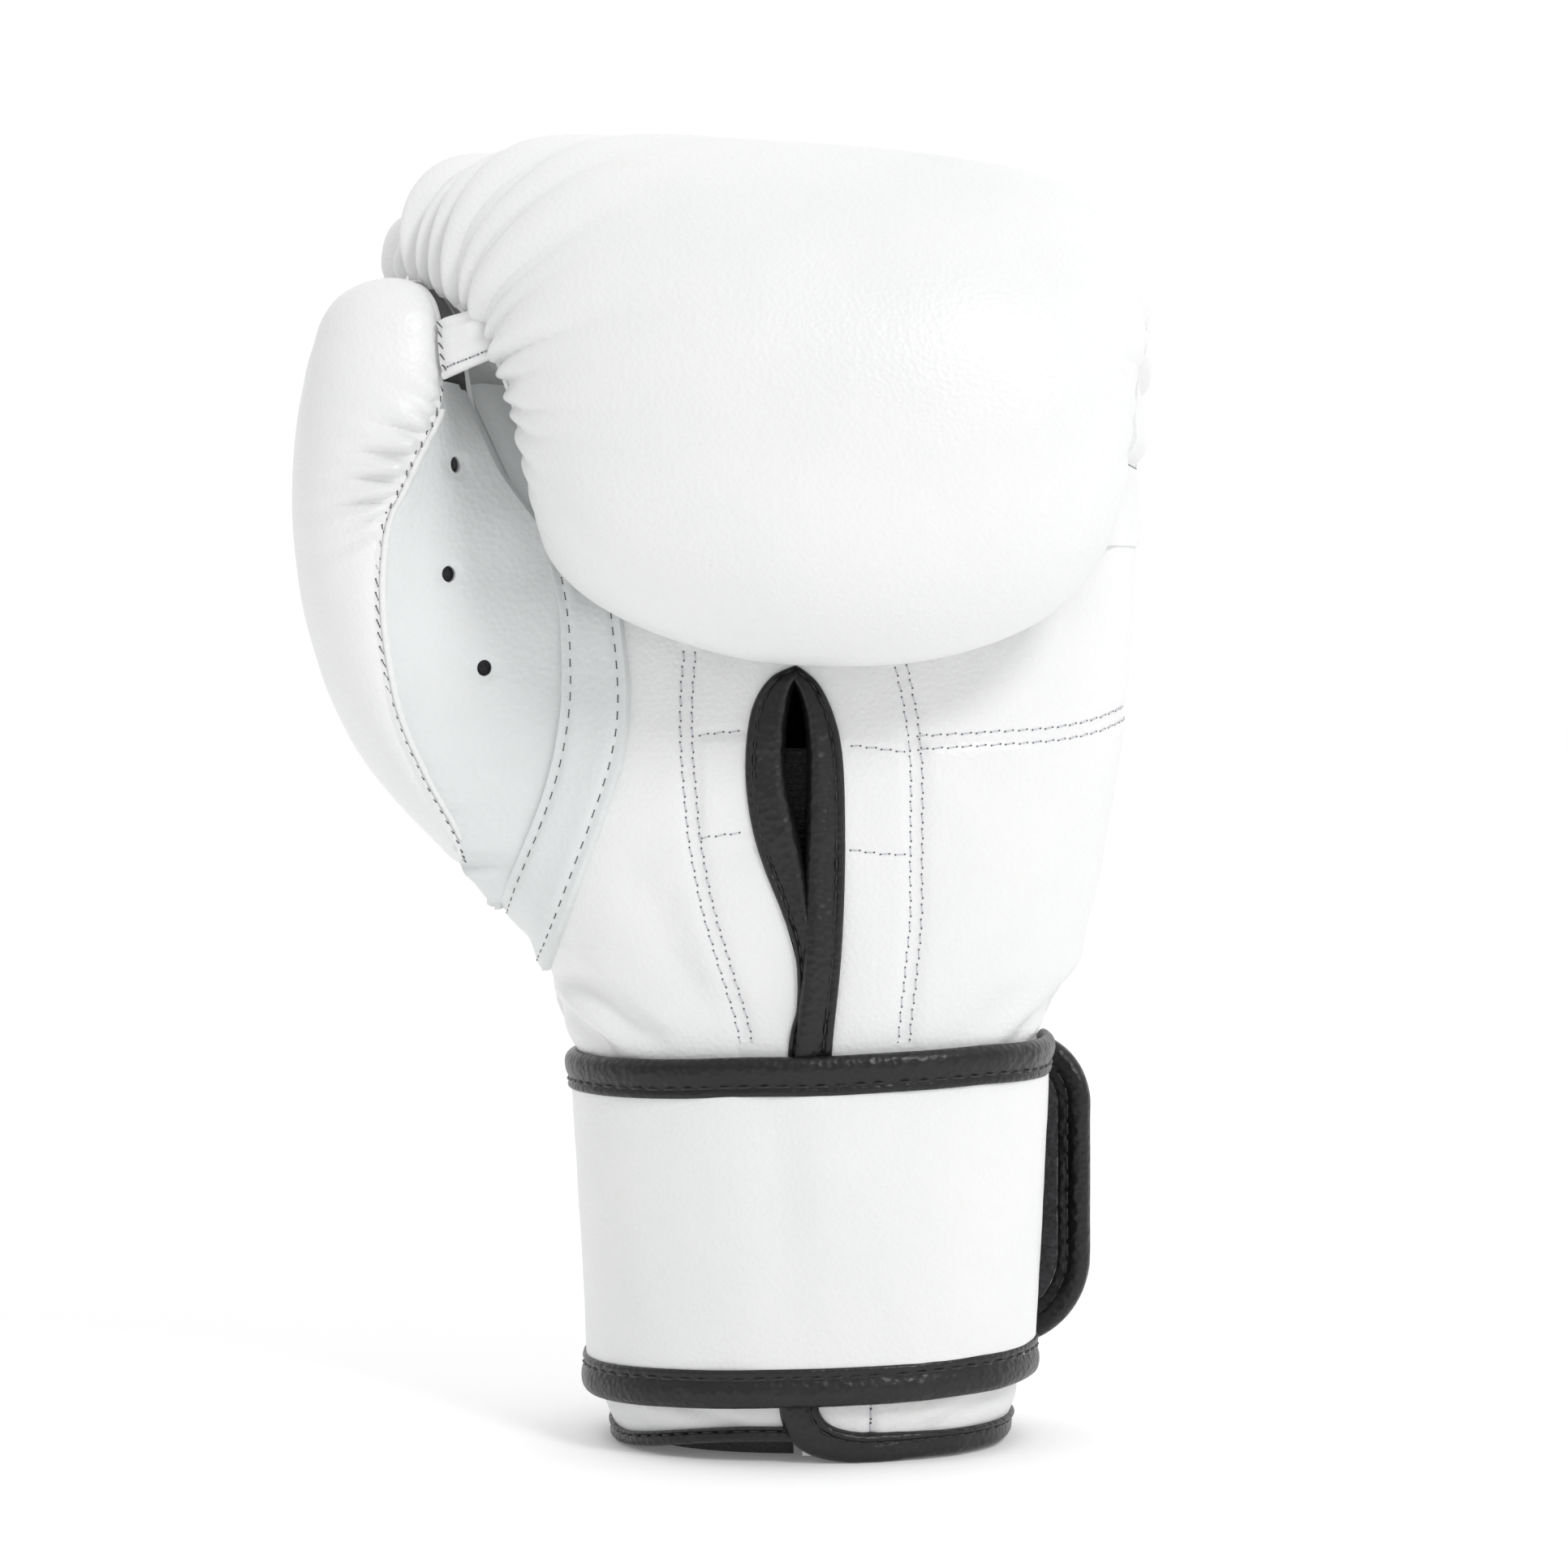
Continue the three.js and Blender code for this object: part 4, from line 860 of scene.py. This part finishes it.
# ---- sides of the fist
def side_wall(name, column, bulge):
    """Fills the space between the rising and the returning edge of the outer leather."""
    line = fist[:, column]
    low_z = 195.5
    apex = int(np.argmax(line[:, 2]))
    rising, returning = line[: apex + 1], line[apex:]
    falling = returning[: int(np.argmin(np.abs(returning[:, 2] - low_z))) + 1][::-1]
    z = np.linspace(low_z, line[apex, 2] - 0.8, 110)
    back, front = (np.stack([np.interp(z, part[:, 2], part[:, k]) for k in range(3)], axis=1)[:, None]
                   for part in (rising, falling))
    u = np.linspace(0, 1, 90)
    wall = mix(back, front, u[:, None])
    high = 1 - 0.75 * step(232, 246, wall[..., 2]) * (bulge > 0)
    wall[..., 0] -= np.sign(line[apex, 0]) * (0.7 + bulge * np.sin(math.pi * u) ** 0.8 * high)
    if bulge < 0:
        # On the little-finger side the palm's upper panel runs on into the wall, between its sewn edges.
        hand = palm_point(np.radians(mix(88, 52, u)) * np.ones_like(wall[..., 2]), wall[..., 2])
        free = step(0.0, 0.12, u) * (1 - step(0.55, 0.98, u))
        wall = mix(hand, wall, (1 - (1 - step(200, 224, wall[..., 2])) * free)[..., None])
    n = outward(wall, [0, wall[..., 1].mean(), 215.0])
    h = 0.5 * noise(wall, 22, 41) + 0.25 * noise(wall, 9, 42)
    if bulge < 0:
        from_seam, from_fold = wall[..., 2] - WALL_SEAM_Z, wall[..., 2] - 229 - 5 * (u - 0.5)
        h += 0.9 * bell(from_seam - 4.5, 3.0) - 1.3 * bell(from_seam, 1.4)
        h += 0.7 * bell(from_fold - 5, 3.4) - 2.2 * bell(from_fold, 2.2)
    outer = wall + n * h[..., None]
    keep(slab(name, outer, outer - n * 1.5, WHITE), "glove", name)
    return outer, n


wall, wall_n = side_wall("fist_side_outer", -1, -0.6)
side_wall("fist_side_thumb", 0, 21.0)
seam_row = int(np.argmin(np.abs(wall[:, 60, 2] - WALL_SEAM_Z)))
seam_thread = stitches("stitches_side_wall", wall[seam_row], wall_n[seam_row], THREAD_DARK, pitch=2.8, length=1.8)
keep(seam_thread, "glove")

# Small stitches in the seam at the roll's left end, dark where the thread crosses the fold.
pick = (station > 10.4) & (station < 13.4)
seam_n = np.tile([-0.75, -0.65, 0], (pick.sum(), 1))
keep(stitches("stitches_roll_end", fist_outer[pick, 0] + seam_n * 0.1, seam_n, THREAD_DARK, length=1.9,
              radius=0.2, slant=0.9, holes=0.2), "glove")

# ---- thumb lock tab
up, over = np.linspace(0, 1, 46)[:, None, None], np.linspace(0, 1, 40)[None, :, None]
corners = [(-77.4, -43.8, 229.6), (-78.6, -42.0, 242.2), (-68.0, -44.4, 244.8), (-63.6, -47.4, 235.0)]
low_left, high_left, high_right, low_right = np.array(corners)
tab = mix(mix(low_left, high_left, up), mix(low_right, high_right, up), over)
up, over = up[..., 0], over[..., 0]
tab[..., 1] -= 1.4 * np.sin(math.pi * over) + 0.5 * np.sin(math.pi * up)
tab_n = palmward(tab)
from_long, from_end = np.minimum(up, 1 - up) * 11, np.minimum(over, 1 - over) * 12
height = 0.8 * np.sqrt(np.clip(from_long / 0.9, 0, 1)) - 0.5 * bell(from_long - 1.9, 0.7)
height = height - 0.9 * bell(from_end, 1.6)
tab_outer = tab + tab_n * (height + 0.3 * noise(tab, 4, 51))[..., None]
tab_skin = slab("thumb_lock_tab", tab_outer, tab - tab_n * 1.1, WHITE)
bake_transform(tab_skin)
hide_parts("thumb_lock_tab")
for name, column, body in (("stitches_tab_thumb", 3, "thumb"), ("stitches_tab_fist", 36, "glove")):
    keep(stitches(name, tab_outer[2:-2, column], tab_n[2:-2, column], THREAD_DARK, pitch=2.4, length=1.8,
                  radius=0.19, slant=1.2, holes=0.2), body)
keep(stitches("stitches_tab_low", tab_outer[7, 4:-4], tab_n[7, 4:-4], THREAD, pitch=2.8, length=1.9, holes=0.2),
     "glove")


# ---- wrist
def cuff_at(degrees, z, out=0.0):
    degrees, z = np.broadcast_arrays(np.asarray(degrees, float), np.asarray(z, float))
    x = (along(CUFF_X, z) + out) * power(np.cos(np.radians(degrees)), 2 / CUFF_SQUARE)
    y = (along(CUFF_Y, z) + out) * power(np.sin(np.radians(degrees)), 2 / CUFF_SQUARE)
    return np.stack([x, y, z], axis=-1)


def even_degrees(start, stop, count, out):
    """Angles that give evenly spaced points round the wrist."""
    fine = np.linspace(start, stop, 4000)
    run = lengths(cuff_at(fine, 50, out))
    return np.interp(np.linspace(0, run[-1], count), run, fine)


def cuff_normals(grid):
    return outward(grid, [0, 0, 45.0])


def cuff_degrees(x, z):
    """Angle on the palm side at which the cuff's face is at x."""
    return -np.degrees(np.arccos(power(np.clip(x / along(CUFF_X, z), -1, 1), CUFF_SQUARE / 2)))


def front(x, z, out=0.0):
    """A point on the palm side's outer face, on the hand or on the cuff."""
    x, z = np.broadcast_arrays(np.asarray(x, float), np.asarray(z, float))
    hand = palm_at(x, np.maximum(z, 84)) - [0, out, 0]
    return mix(hand, cuff_at(cuff_degrees(x, z), z, out), (1 - step(82, 90, z))[..., None])


def rim_low(turn):
    """Height of the rim off the table: it lifts a little towards the slit on the thumb side."""
    return 0.15 + 4.4 * step(196, 262, turn)


cuff_turn = even_degrees(-91.5, 266.5, 430, 0)
cuff = cuff_at(cuff_turn, mix(rim_low(cuff_turn) + 1.1, 89.8, np.linspace(0, 1, 120)[:, None]))
cuff_n = cuff_normals(cuff)
height = 0.35 * noise(cuff, 26, 61) + 0.15 * noise(cuff, 9, 62) - 0.5
palm_side = cuff[..., 1] < 0
height -= 0.7 * bell(cuff[..., 0] - 13, 0.9) * palm_side * (cuff[..., 2] < 22)
for start, end, deep in (((-30, 13), (-12, 6), 0.5), ((24, 6), (40, 13), 0.5), ((-44, 12), (-34, 5), 0.4)):
    height += fold(cuff[..., 0], cuff[..., 2], start, end, 2.0, deep) * palm_side
cuff_skin = slab("cuff_leather", cuff + cuff_n * height[..., None], cuff - cuff_n * 1.8, WHITE)
keep(cuff_skin, "glove", "cuff_shell", "cuff_foam")
line = front(np.full(40, 13.0), np.linspace(3, 19, 40), -0.9)
keep(stitches("stitches_cuff", line, np.tile([0.1, -1.0, 0], (40, 1)), THREAD_PALE, holes=0.25), "glove")

lining = cuff_at(cuff_turn[::2], np.linspace(1.2, 89.8, 120)[::2, None], -6.2)
lining_n = cuff_normals(lining)
inner = lining + lining_n * (0.5 * noise(lining, 18, 63) + 0.1 * noise(lining, 5, 64) - 0.4)[..., None]
keep(slab("cuff_lining", lining + lining_n * 0.8, inner, LINING), "glove", "cuff_lining")


# ---- binding tape of the slit and the rim
def stitched_tape(name, stitched, wrapped, normal, depth, *stands_for):
    """Binding tape folded over an edge: its stitched edge on the leather, the edge it wraps, and how far it
    reaches down behind."""
    across = wrapped - stitched
    width = np.linalg.norm(across, axis=1)
    across /= width[:, None]
    flat = np.minimum(3.4, width * 0.45)
    level = np.ones(len(width))
    # The folded section: position across and height over the leather.
    section = [(part * flat, up * level) for part, up in (
        (0.0, -0.5), (0.02, 0.35), (0.16, 1.0), (0.34, 1.1), (0.47, 0.75), (0.56, 0.62), (0.66, 0.85),
        (0.86, 1.25), (1.0, 1.35))]
    section += [(mix(flat, width, 1 - (1 - part) ** 1.5),
                 (1.35 + 0.55 * math.sin(math.pi * min(part * 1.15, 1)) - 2.6 * part**5) * level)
                for part in np.linspace(0.08, 1, 12)]
    section += [(width + 0.25 * math.sin(math.pi * part) - 0.9 * part**3, -1.25 - (depth - 1.25) * part)
                for part in np.linspace(0.12, 1, 9)]
    section += [(width - 2.6, 0.1 - depth), (width - 2.4, -1.9 * level), (flat * 0.6, -1.7 * level),
                (flat * 0.1, -1.5 * level)]
    s, h = (np.stack(part, axis=1) for part in zip(*section))
    ring = stitched[:, None] + across[:, None] * s[..., None] + normal[:, None] * h[..., None]
    soft = (0.22 * noise(ring, 7, 70) + 0.1 * noise(ring, 3, 71)) * step(0.5, 2.0, s)
    keep(tube(name, ring + normal[:, None] * soft[..., None], BLACK), "glove", *stands_for)
    line = stitched + across * (0.56 * flat)[:, None] + normal * 0.62
    keep(stitches(name + "_stitches", line, normal, THREAD_BLACK, "black_tape", pitch=3.5, length=2.5,
                  radius=0.24, rise=0.3), "glove")


def slit_edges(pairs, proud):
    """Both edges of a slit tape, evenly spaced along their middle, with its normals and its depth."""
    fine = spline(pairs, np.linspace(0, 1, 60 * len(pairs)))
    run = lengths((fine[:, :2] + fine[:, 2:]) / 2)
    s = np.linspace(0, run[-1], int(run[-1] / 0.6))
    x0, z0, x1, z1 = (np.interp(s, run, column) for column in fine.T)
    middle_z = (z0 + z1) / 2
    n = normal_at(front, (x0 + x1) / 2, middle_z, 0.5)
    a, b = front(x0, z0), front(x1, z1)
    # One tape lies over the other low down; under the strap both are pressed flat.
    over = proud * (1 - step(112, 128, middle_z)) * (1 - step(6, 20, b[:, 0]))
    pressed = 1.75 * step(9, 16, middle_z) * (1 - step(82, 91, middle_z))
    return a + (0.6 * over - pressed)[:, None] * n, b + (over - pressed)[:, None] * n, n, 6.0 + (middle_z < 86)


def rim_edges(start, stop):
    """The tape round the cuff's rim: 6 mm tall, less on the thumb side."""
    turn = even_degrees(start, stop, int(240 * abs(stop - start) / 180), 0)
    low = rim_low(turn)
    n = unit(cuff_at(turn, 4, 1.0) - cuff_at(turn, 4, 0))
    tall = 6.0 - 2.6 * step(140, 200, turn)
    return cuff_at(turn, low + tall), cuff_at(turn, low), n, np.full(len(turn), 8.0)


stitched_tape("slit_binding_left", *slit_edges(LEFT_RIBS, 0.0), "slit_binding_left")
# The right-hand tape turns at the bottom and runs on as the rim's binding, right round to the thumb side.
joined = []
for pair in zip(slit_edges(RIGHT_RIBS, 0.9), rim_edges(float(cuff_degrees(23.6, 3)), 268)):
    values = np.concatenate(pair)
    padded = np.pad(values, [(8, 8)] + [(0, 0)] * (values.ndim - 1), mode="edge")
    joined.append(sum(padded[i : i + len(values)] for i in range(17)) / 17)
joined[2] = unit(joined[2])
stitched_tape("slit_and_rim_binding", *joined, "slit_binding_right", "cuff_rim_binding")

# ---- inside of the hand
# Ribbed elastic across the inside of the slit.
elastic = palm_at(np.linspace(-22, 17, 90), np.linspace(110, 152, 120)[:, None], 8.3)
elastic[..., 1] += 0.45 * np.sin(2 * math.pi * elastic[..., 2] / 1.5) + 0.3 * noise(elastic, 8, 66)
keep(slab("slit_elastic", elastic, elastic + [0, 1.2, 0], ELASTIC), "glove", "slit_elastic")

# Padding seen from inside, one sheet of foam-backed cloth on each side of the slit.
z = np.linspace(90.5, 195, 120)[:, None]
u = np.linspace(0, 1, 60)
thumb_side_x = np.maximum(along(SEAM_LEFT, z) + 4, along(GUSSET_INNER, np.clip(z, 116, 184)) - 1)
for name, from_x, to_x, seed in (
        ("palm_padding_thumb_side", thumb_side_x, along(SLIT_LEFT, z) - 1, 67),
        ("palm_padding_outer_side", along(SLIT_RIGHT, z) + 1, along(SEAM_RIGHT, z) - 2, 68)):
    x = mix(from_x, to_x, u)
    face, back_face = palm_at(x, z, 3.0), palm_at(x, z, 7.3)
    back_face[..., 1] += 0.4 * noise(back_face, 14, seed) - 1.2 * bell(np.minimum(u, 1 - u), 0.05)
    keep(slab(name, face, back_face, LINING), "glove", name)

# Lining of the hand's back, and the bar that the fingers close round.
t, u = np.meshgrid(np.linspace(0.01, 0.43, 130), np.linspace(0.04, 0.96, 130), indexing="ij")
mid_y, mid_z, seam_y, seam_z = np.moveaxis(spline(STATIONS, t), -1, 0)[:4]
pad = np.interp(t * (len(STATIONS) - 1), range(len(PAD_SHARE)), PAD_SHARE)
face = outer_panel(t, u, 9.0, pad + 1.0 / np.hypot(mid_y - seam_y, mid_z - seam_z))
thick = 1.2 + 0.5 * noise(face, 16, 69) + 0.15 * noise(face, 5, 70)
inner = face - outward(face, [-8, 0, 190.0]) * thick[..., None]
keep(slab("hand_lining", face, inner, LINING), "glove", "hand_lining")

bar_x = np.linspace(-36, 38, 110)[:, None]
bar_r = 7 * np.sqrt(np.clip(1 - np.clip((np.abs(bar_x - 1) - 30) / 7, 0, 0.985) ** 2, 0, 1))
bar_out = bar_r[..., None] * circle(48, [0, 1, 0], [0, 0, 1])
bar = bar_x[..., None] * [1, 0, 0] + [0, -15, 184] + bar_out
bar = bar + bar_out / 7 * (0.25 * np.sin(bar_x * 1.1) + 0.3 * noise(bar, 6, 71))[..., None]
keep(tube("grip_bar", bar, LINING), "glove", "grip_bar")


# ---- strap
def strap_edge(turn, at_high):
    """Height of the strap's lower or upper edge: both rise a little towards the little finger."""
    return (87.1 if at_high else 12.9) + 0.038 * cuff_at(turn, 50)[..., 0]


flap_root = cuff_at(HINGE["flap"], 86, 3)
flap_way = np.array([math.cos(FLAP_TURN), math.sin(FLAP_TURN), 0])
flap_out = np.array([-math.sin(FLAP_TURN), math.cos(FLAP_TURN), 0])
strap_turn = even_degrees(6, -312, 1180, 2.0)


def strap_grid(turn, share, out):
    """Points at angles turn, at a share of the strap's height, and at a distance out from the cuff."""
    return cuff_at(turn, mix(strap_edge(turn, False), strap_edge(turn, True), share), out)


def strap_relief(points):
    x, y, z = np.moveaxis(points, -1, 0)
    creases = fold(x, z, (-8, 82), (-3, 20), 5.5, 0.6) + fold(x, z, (-44, 60), (-40, 20), 3.0, 0.3)
    return (0.55 * noise(points, 34, 81) + 0.22 * noise(points, 13, 82) + 0.07 * noise(points, 5, 83)
            + (y < 0) * creases)


def flap_at(v, z, out):
    """A point of the flap: v along it from the hinge, out from its inner plane."""
    v, z, out = np.broadcast_arrays(v, z, out)
    flat = flap_root * [1, 1, 0] + v[..., None] * flap_way + out[..., None] * flap_out
    return flat + z[..., None] * [0, 0, 1.0]


def run_on(rings, flap_end):
    """The strap's last stretch turns smoothly into the flap's plane."""
    share = step(0.0, 1.0, np.linspace(0, 1, 26)[1:]).reshape((25,) + (1,) * (rings.ndim - 1))
    return np.concatenate([rings, mix(rings[-1:], flap_end, share)])


def strap_binding(name, turn, at_high, to_flap):
    """Tape wrapped over the strap's upper or lower edge, with the line and normals of its stitches."""
    sign = -1 if at_high else 1
    edge_z = strap_edge(turn, at_high) - sign * 0.3
    ring = np.stack([cuff_at(turn, edge_z + sign * down, out) for down, out in STRAP_TAPE], axis=1)
    soft = 0.3 * noise(ring[:, 9:10], 24, 85 + at_high) + 0.16 * noise(ring, 8, 87 + at_high)
    soft = soft + 0.06 * noise(ring, 3, 88)
    n = unit(cuff_at(turn, edge_z, 1) - cuff_at(turn, edge_z, 0))
    outside = np.array([float(out > 2) for _, out in STRAP_TAPE])
    ring = ring + n[:, None] * (soft * outside)[..., None]
    ring[..., 2] += 0.35 * noise(ring[:, 9:10] * [1, 1, 0], 17, 89 + at_high)
    if to_flap:
        edge_at = FLAP_HIGH + 0.15 if at_high else FLAP_LOW - 0.15
        flap_end = [flap_at(9.0, edge_at + sign * down, out - 2.85) for down, out in STRAP_TAPE]
        ring = run_on(ring, np.array(flap_end))
        n = run_on(n, flap_out)
    return tube(name, ring, BLACK), ring[:, 5] + n * 0.02, n


def strap_piece(thing, a, b, hinge, *stands_for):
    """Part of the strap: its placement is baked into its mesh and the parts it stands for are hidden. a, b and
    hinge are not used.
    """
    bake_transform(thing)
    if stands_for:
        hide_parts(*stands_for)


STRAP_STITCH = {"length": 2.9, "radius": 0.27, "rise": 0.36}
share = np.linspace(0.055, 0.945, 110)
for name, stands, from_degrees, to_degrees, body_a, body_b, hinge in (
        ("strap_a", "strap_root", 6, -75, "glove", "strap_palm_link", "base"),
        ("strap_b", "strap_palm", -75, -180, "strap_palm_link", "strap_thumb_side_link", "front"),
        ("strap_c", "strap_thumb_side", -180, -267, "strap_thumb_side_link", "strap_back_link", "rear"),
        ("strap_d", "strap_back", -267, -312, "strap_back_link", "strap_flap_link", "flap")):
    first, last = (int(np.argmin(np.abs(strap_turn - d))) for d in (from_degrees, to_degrees))
    turn = strap_turn[first : last + 1]
    base = strap_grid(turn, share[:, None], 3.0)
    outer = base + cuff_normals(base) * strap_relief(base)[..., None]
    inner = strap_grid(turn, share[:, None], 1.1)
    if hinge == "flap":
        height_at = mix(FLAP_LOW + 4, FLAP_HIGH - 4, share)
        outer = run_on(outer.swapaxes(0, 1), flap_at(9.0, height_at, 0.05)).swapaxes(0, 1)
        inner = run_on(inner.swapaxes(0, 1), flap_at(9.0, height_at, -1.7)).swapaxes(0, 1)
    place = (body_a, body_b, hinge)
    strap_piece(slab(name + "_panel", outer, inner, WHITE), *place, stands)
    for at_high, tag in ((True, "top"), (False, "low")):
        tape, line, tape_n = strap_binding(f"{name}_{tag}_binding", turn, at_high, hinge == "flap")
        strap_piece(tape, *place, f"{stands}_{tag}_binding")
        strap_piece(stitches(f"{name}_{tag}_stitches", line, tape_n, THREAD_BLACK, "black_tape", pitch=4.1,
                             **STRAP_STITCH), *place)


# ---- flap
def flap_outline(inset, count):
    """The flap's round end, as v and z, drawn in by inset."""
    low, high, long = FLAP_LOW + inset, FLAP_HIGH - inset, FLAP_LONG - inset
    r, q = (max(r - inset, 1.0) for r in FLAP_ROUND)
    a = np.linspace(-math.pi / 2, 0, 40)
    p = [(FLAP_START, low)] + [(long - r + r * math.cos(t), low + r + r * math.sin(t)) for t in a]
    p += [(long - q + q * math.cos(t), high - q + q * math.sin(t)) for t in -a[::-1]] + [(FLAP_START, high)]
    return resample(p, count)


def flap_sheet(name, inset, near, far, material, rough):
    """A filled D-shaped sheet with a dense face on both sides."""
    rim = flap_outline(inset, 220)[:, None]
    spine = rim * [0, 1] + [FLAP_START, 0]
    v, z = np.moveaxis(mix(spine, rim, np.linspace(0, 1, 70)[:, None]), -1, 0)
    face, back_face = flap_at(v, z, near), flap_at(v, z, far)
    if rough:
        up = rough * (noise(face, 1.3, 91) + 0.5 * noise(face, 0.7, 92))
        down = 0.2 * noise(back_face, 9, 93)
    else:
        up = -0.3 * noise(face, 16, 94)
        down = -0.3 * noise(face + flap_out * up[..., None], 16, 94)
    return slab(name, face + flap_out * up[..., None], back_face - flap_out * down[..., None], material)


keep(flap_sheet("strap_flap", 7.5, -0.2, -1.9, WHITE, 0), "strap_flap_link", "strap_flap")
keep(flap_sheet("hook_patch", 6.8, -3.4, -1.9, HOOKS, -0.35), "strap_flap_link", "hook_patch")
rim = flap_outline(0.0, 420)
inward = unit(np.gradient(rim, axis=0))[:, ::-1] * [-1, 1]
ring = np.stack([flap_at(*(rim + inward * d).T, o) for d, o in FLAP_TAPE], axis=1)
ring = ring + flap_out * (0.16 * noise(ring, 7, 95) + 0.08 * noise(ring, 3, 96))[..., None]
keep(tube("strap_flap_binding", ring, BLACK), "strap_flap_link", "strap_flap_binding")
for name, column, facing in (("flap_stitches_inner", 17, -1.0), ("flap_stitches_outer", 4, 1.0)):
    normal = np.tile(flap_out * facing, (420, 1))
    keep(stitches(name, ring[:, column], normal, THREAD_BLACK, "black_tape", pitch=3.9, length=2.8, radius=0.27,
                  rise=0.36), "strap_flap_link")

# Loop tape on the cuff, under the flap.
loop = cuff_at(np.linspace(9, 29, 90), np.linspace(28, 74, 150)[:, None], 1.5)
loop_n = cuff_normals(loop)
fuzz = 0.28 * noise(loop, 1.2, 97) + 0.2 * noise(loop, 0.6, 98)
keep(slab("loop_patch", loop + loop_n * fuzz[..., None], loop - loop_n * 1.2, HOOKS), "glove",
     "loop_patch")


# ---- camera, lights, floor
def aim(thing, place, target):
    """Puts a camera or a lamp in place, looking at a target."""
    thing.location = place
    thing.rotation_mode = "QUATERNION"
    thing.rotation_quaternion = (Vector(target) - Vector(place)).to_track_quat("-Z", "Y")
    bpy.context.scene.collection.objects.link(thing)


camera = bpy.data.cameras.new("camera")
camera.lens, camera.sensor_width = 104.6, 36
view_from = bpy.data.objects.new("camera", camera)
aim(view_from, point(-5.7, -1000, 175), point(-5.7, 0, 143.5))
bpy.context.scene.camera = view_from

lamp = bpy.data.lights.new("key", "AREA")
lamp.shape, lamp.size, lamp.energy = "DISK", 0.6, 14.6
aim(bpy.data.objects.new("key", lamp), (0.95, -1.4, 1.45), (0, 0, 0.15))

# A white sweep behind, dimmer behind the camera and on the thumb side.
world = bpy.data.worlds.new("studio")
world.use_nodes = True
sky = world.node_tree
direction = sky.nodes.new("ShaderNodeTexCoord").outputs["Generated"]
bias = sky.nodes.new("ShaderNodeVectorMath")
bias.operation = "DOT_PRODUCT"
bias.inputs[1].default_value = (0.1, 0.3, 0.24)
sky.links.new(direction, bias.inputs[0])
level = sky.nodes.new("ShaderNodeMath")
level.operation = "ADD"
level.inputs[1].default_value = 0.775
sky.links.new(bias.outputs["Value"], level.inputs[0])
sky.links.new(level.outputs[0], sky.nodes["Background"].inputs["Strength"])
sky.nodes["Background"].inputs["Color"].default_value = (1, 1, 1, 1)
bpy.context.scene.world = world
bpy.context.scene.view_settings.view_transform = "Standard"

# The table glows a little, as a lit sweep does, so that it ends up as bright as what is behind it.
floor_data = bpy.data.meshes.new("floor")
floor_data.from_pydata([(-30, -30, 0), (30, -30, 0), (30, 30, 0), (-30, 30, 0)], [], [(0, 1, 2, 3)])
floor = bpy.data.objects.new("floor", floor_data)
bpy.context.scene.collection.objects.link(floor)
floor_paint, _, floor_shader = nodes_for("floor_paint")
give(floor_shader, {"Base Color": (0.93, 0.93, 0.93, 1), "Roughness": 0.8, "Specular IOR Level": 0.2,
                    "Emission Color": (1, 1, 1, 1), "Emission Strength": 0.12})
floor_data.materials.append(floor_paint)
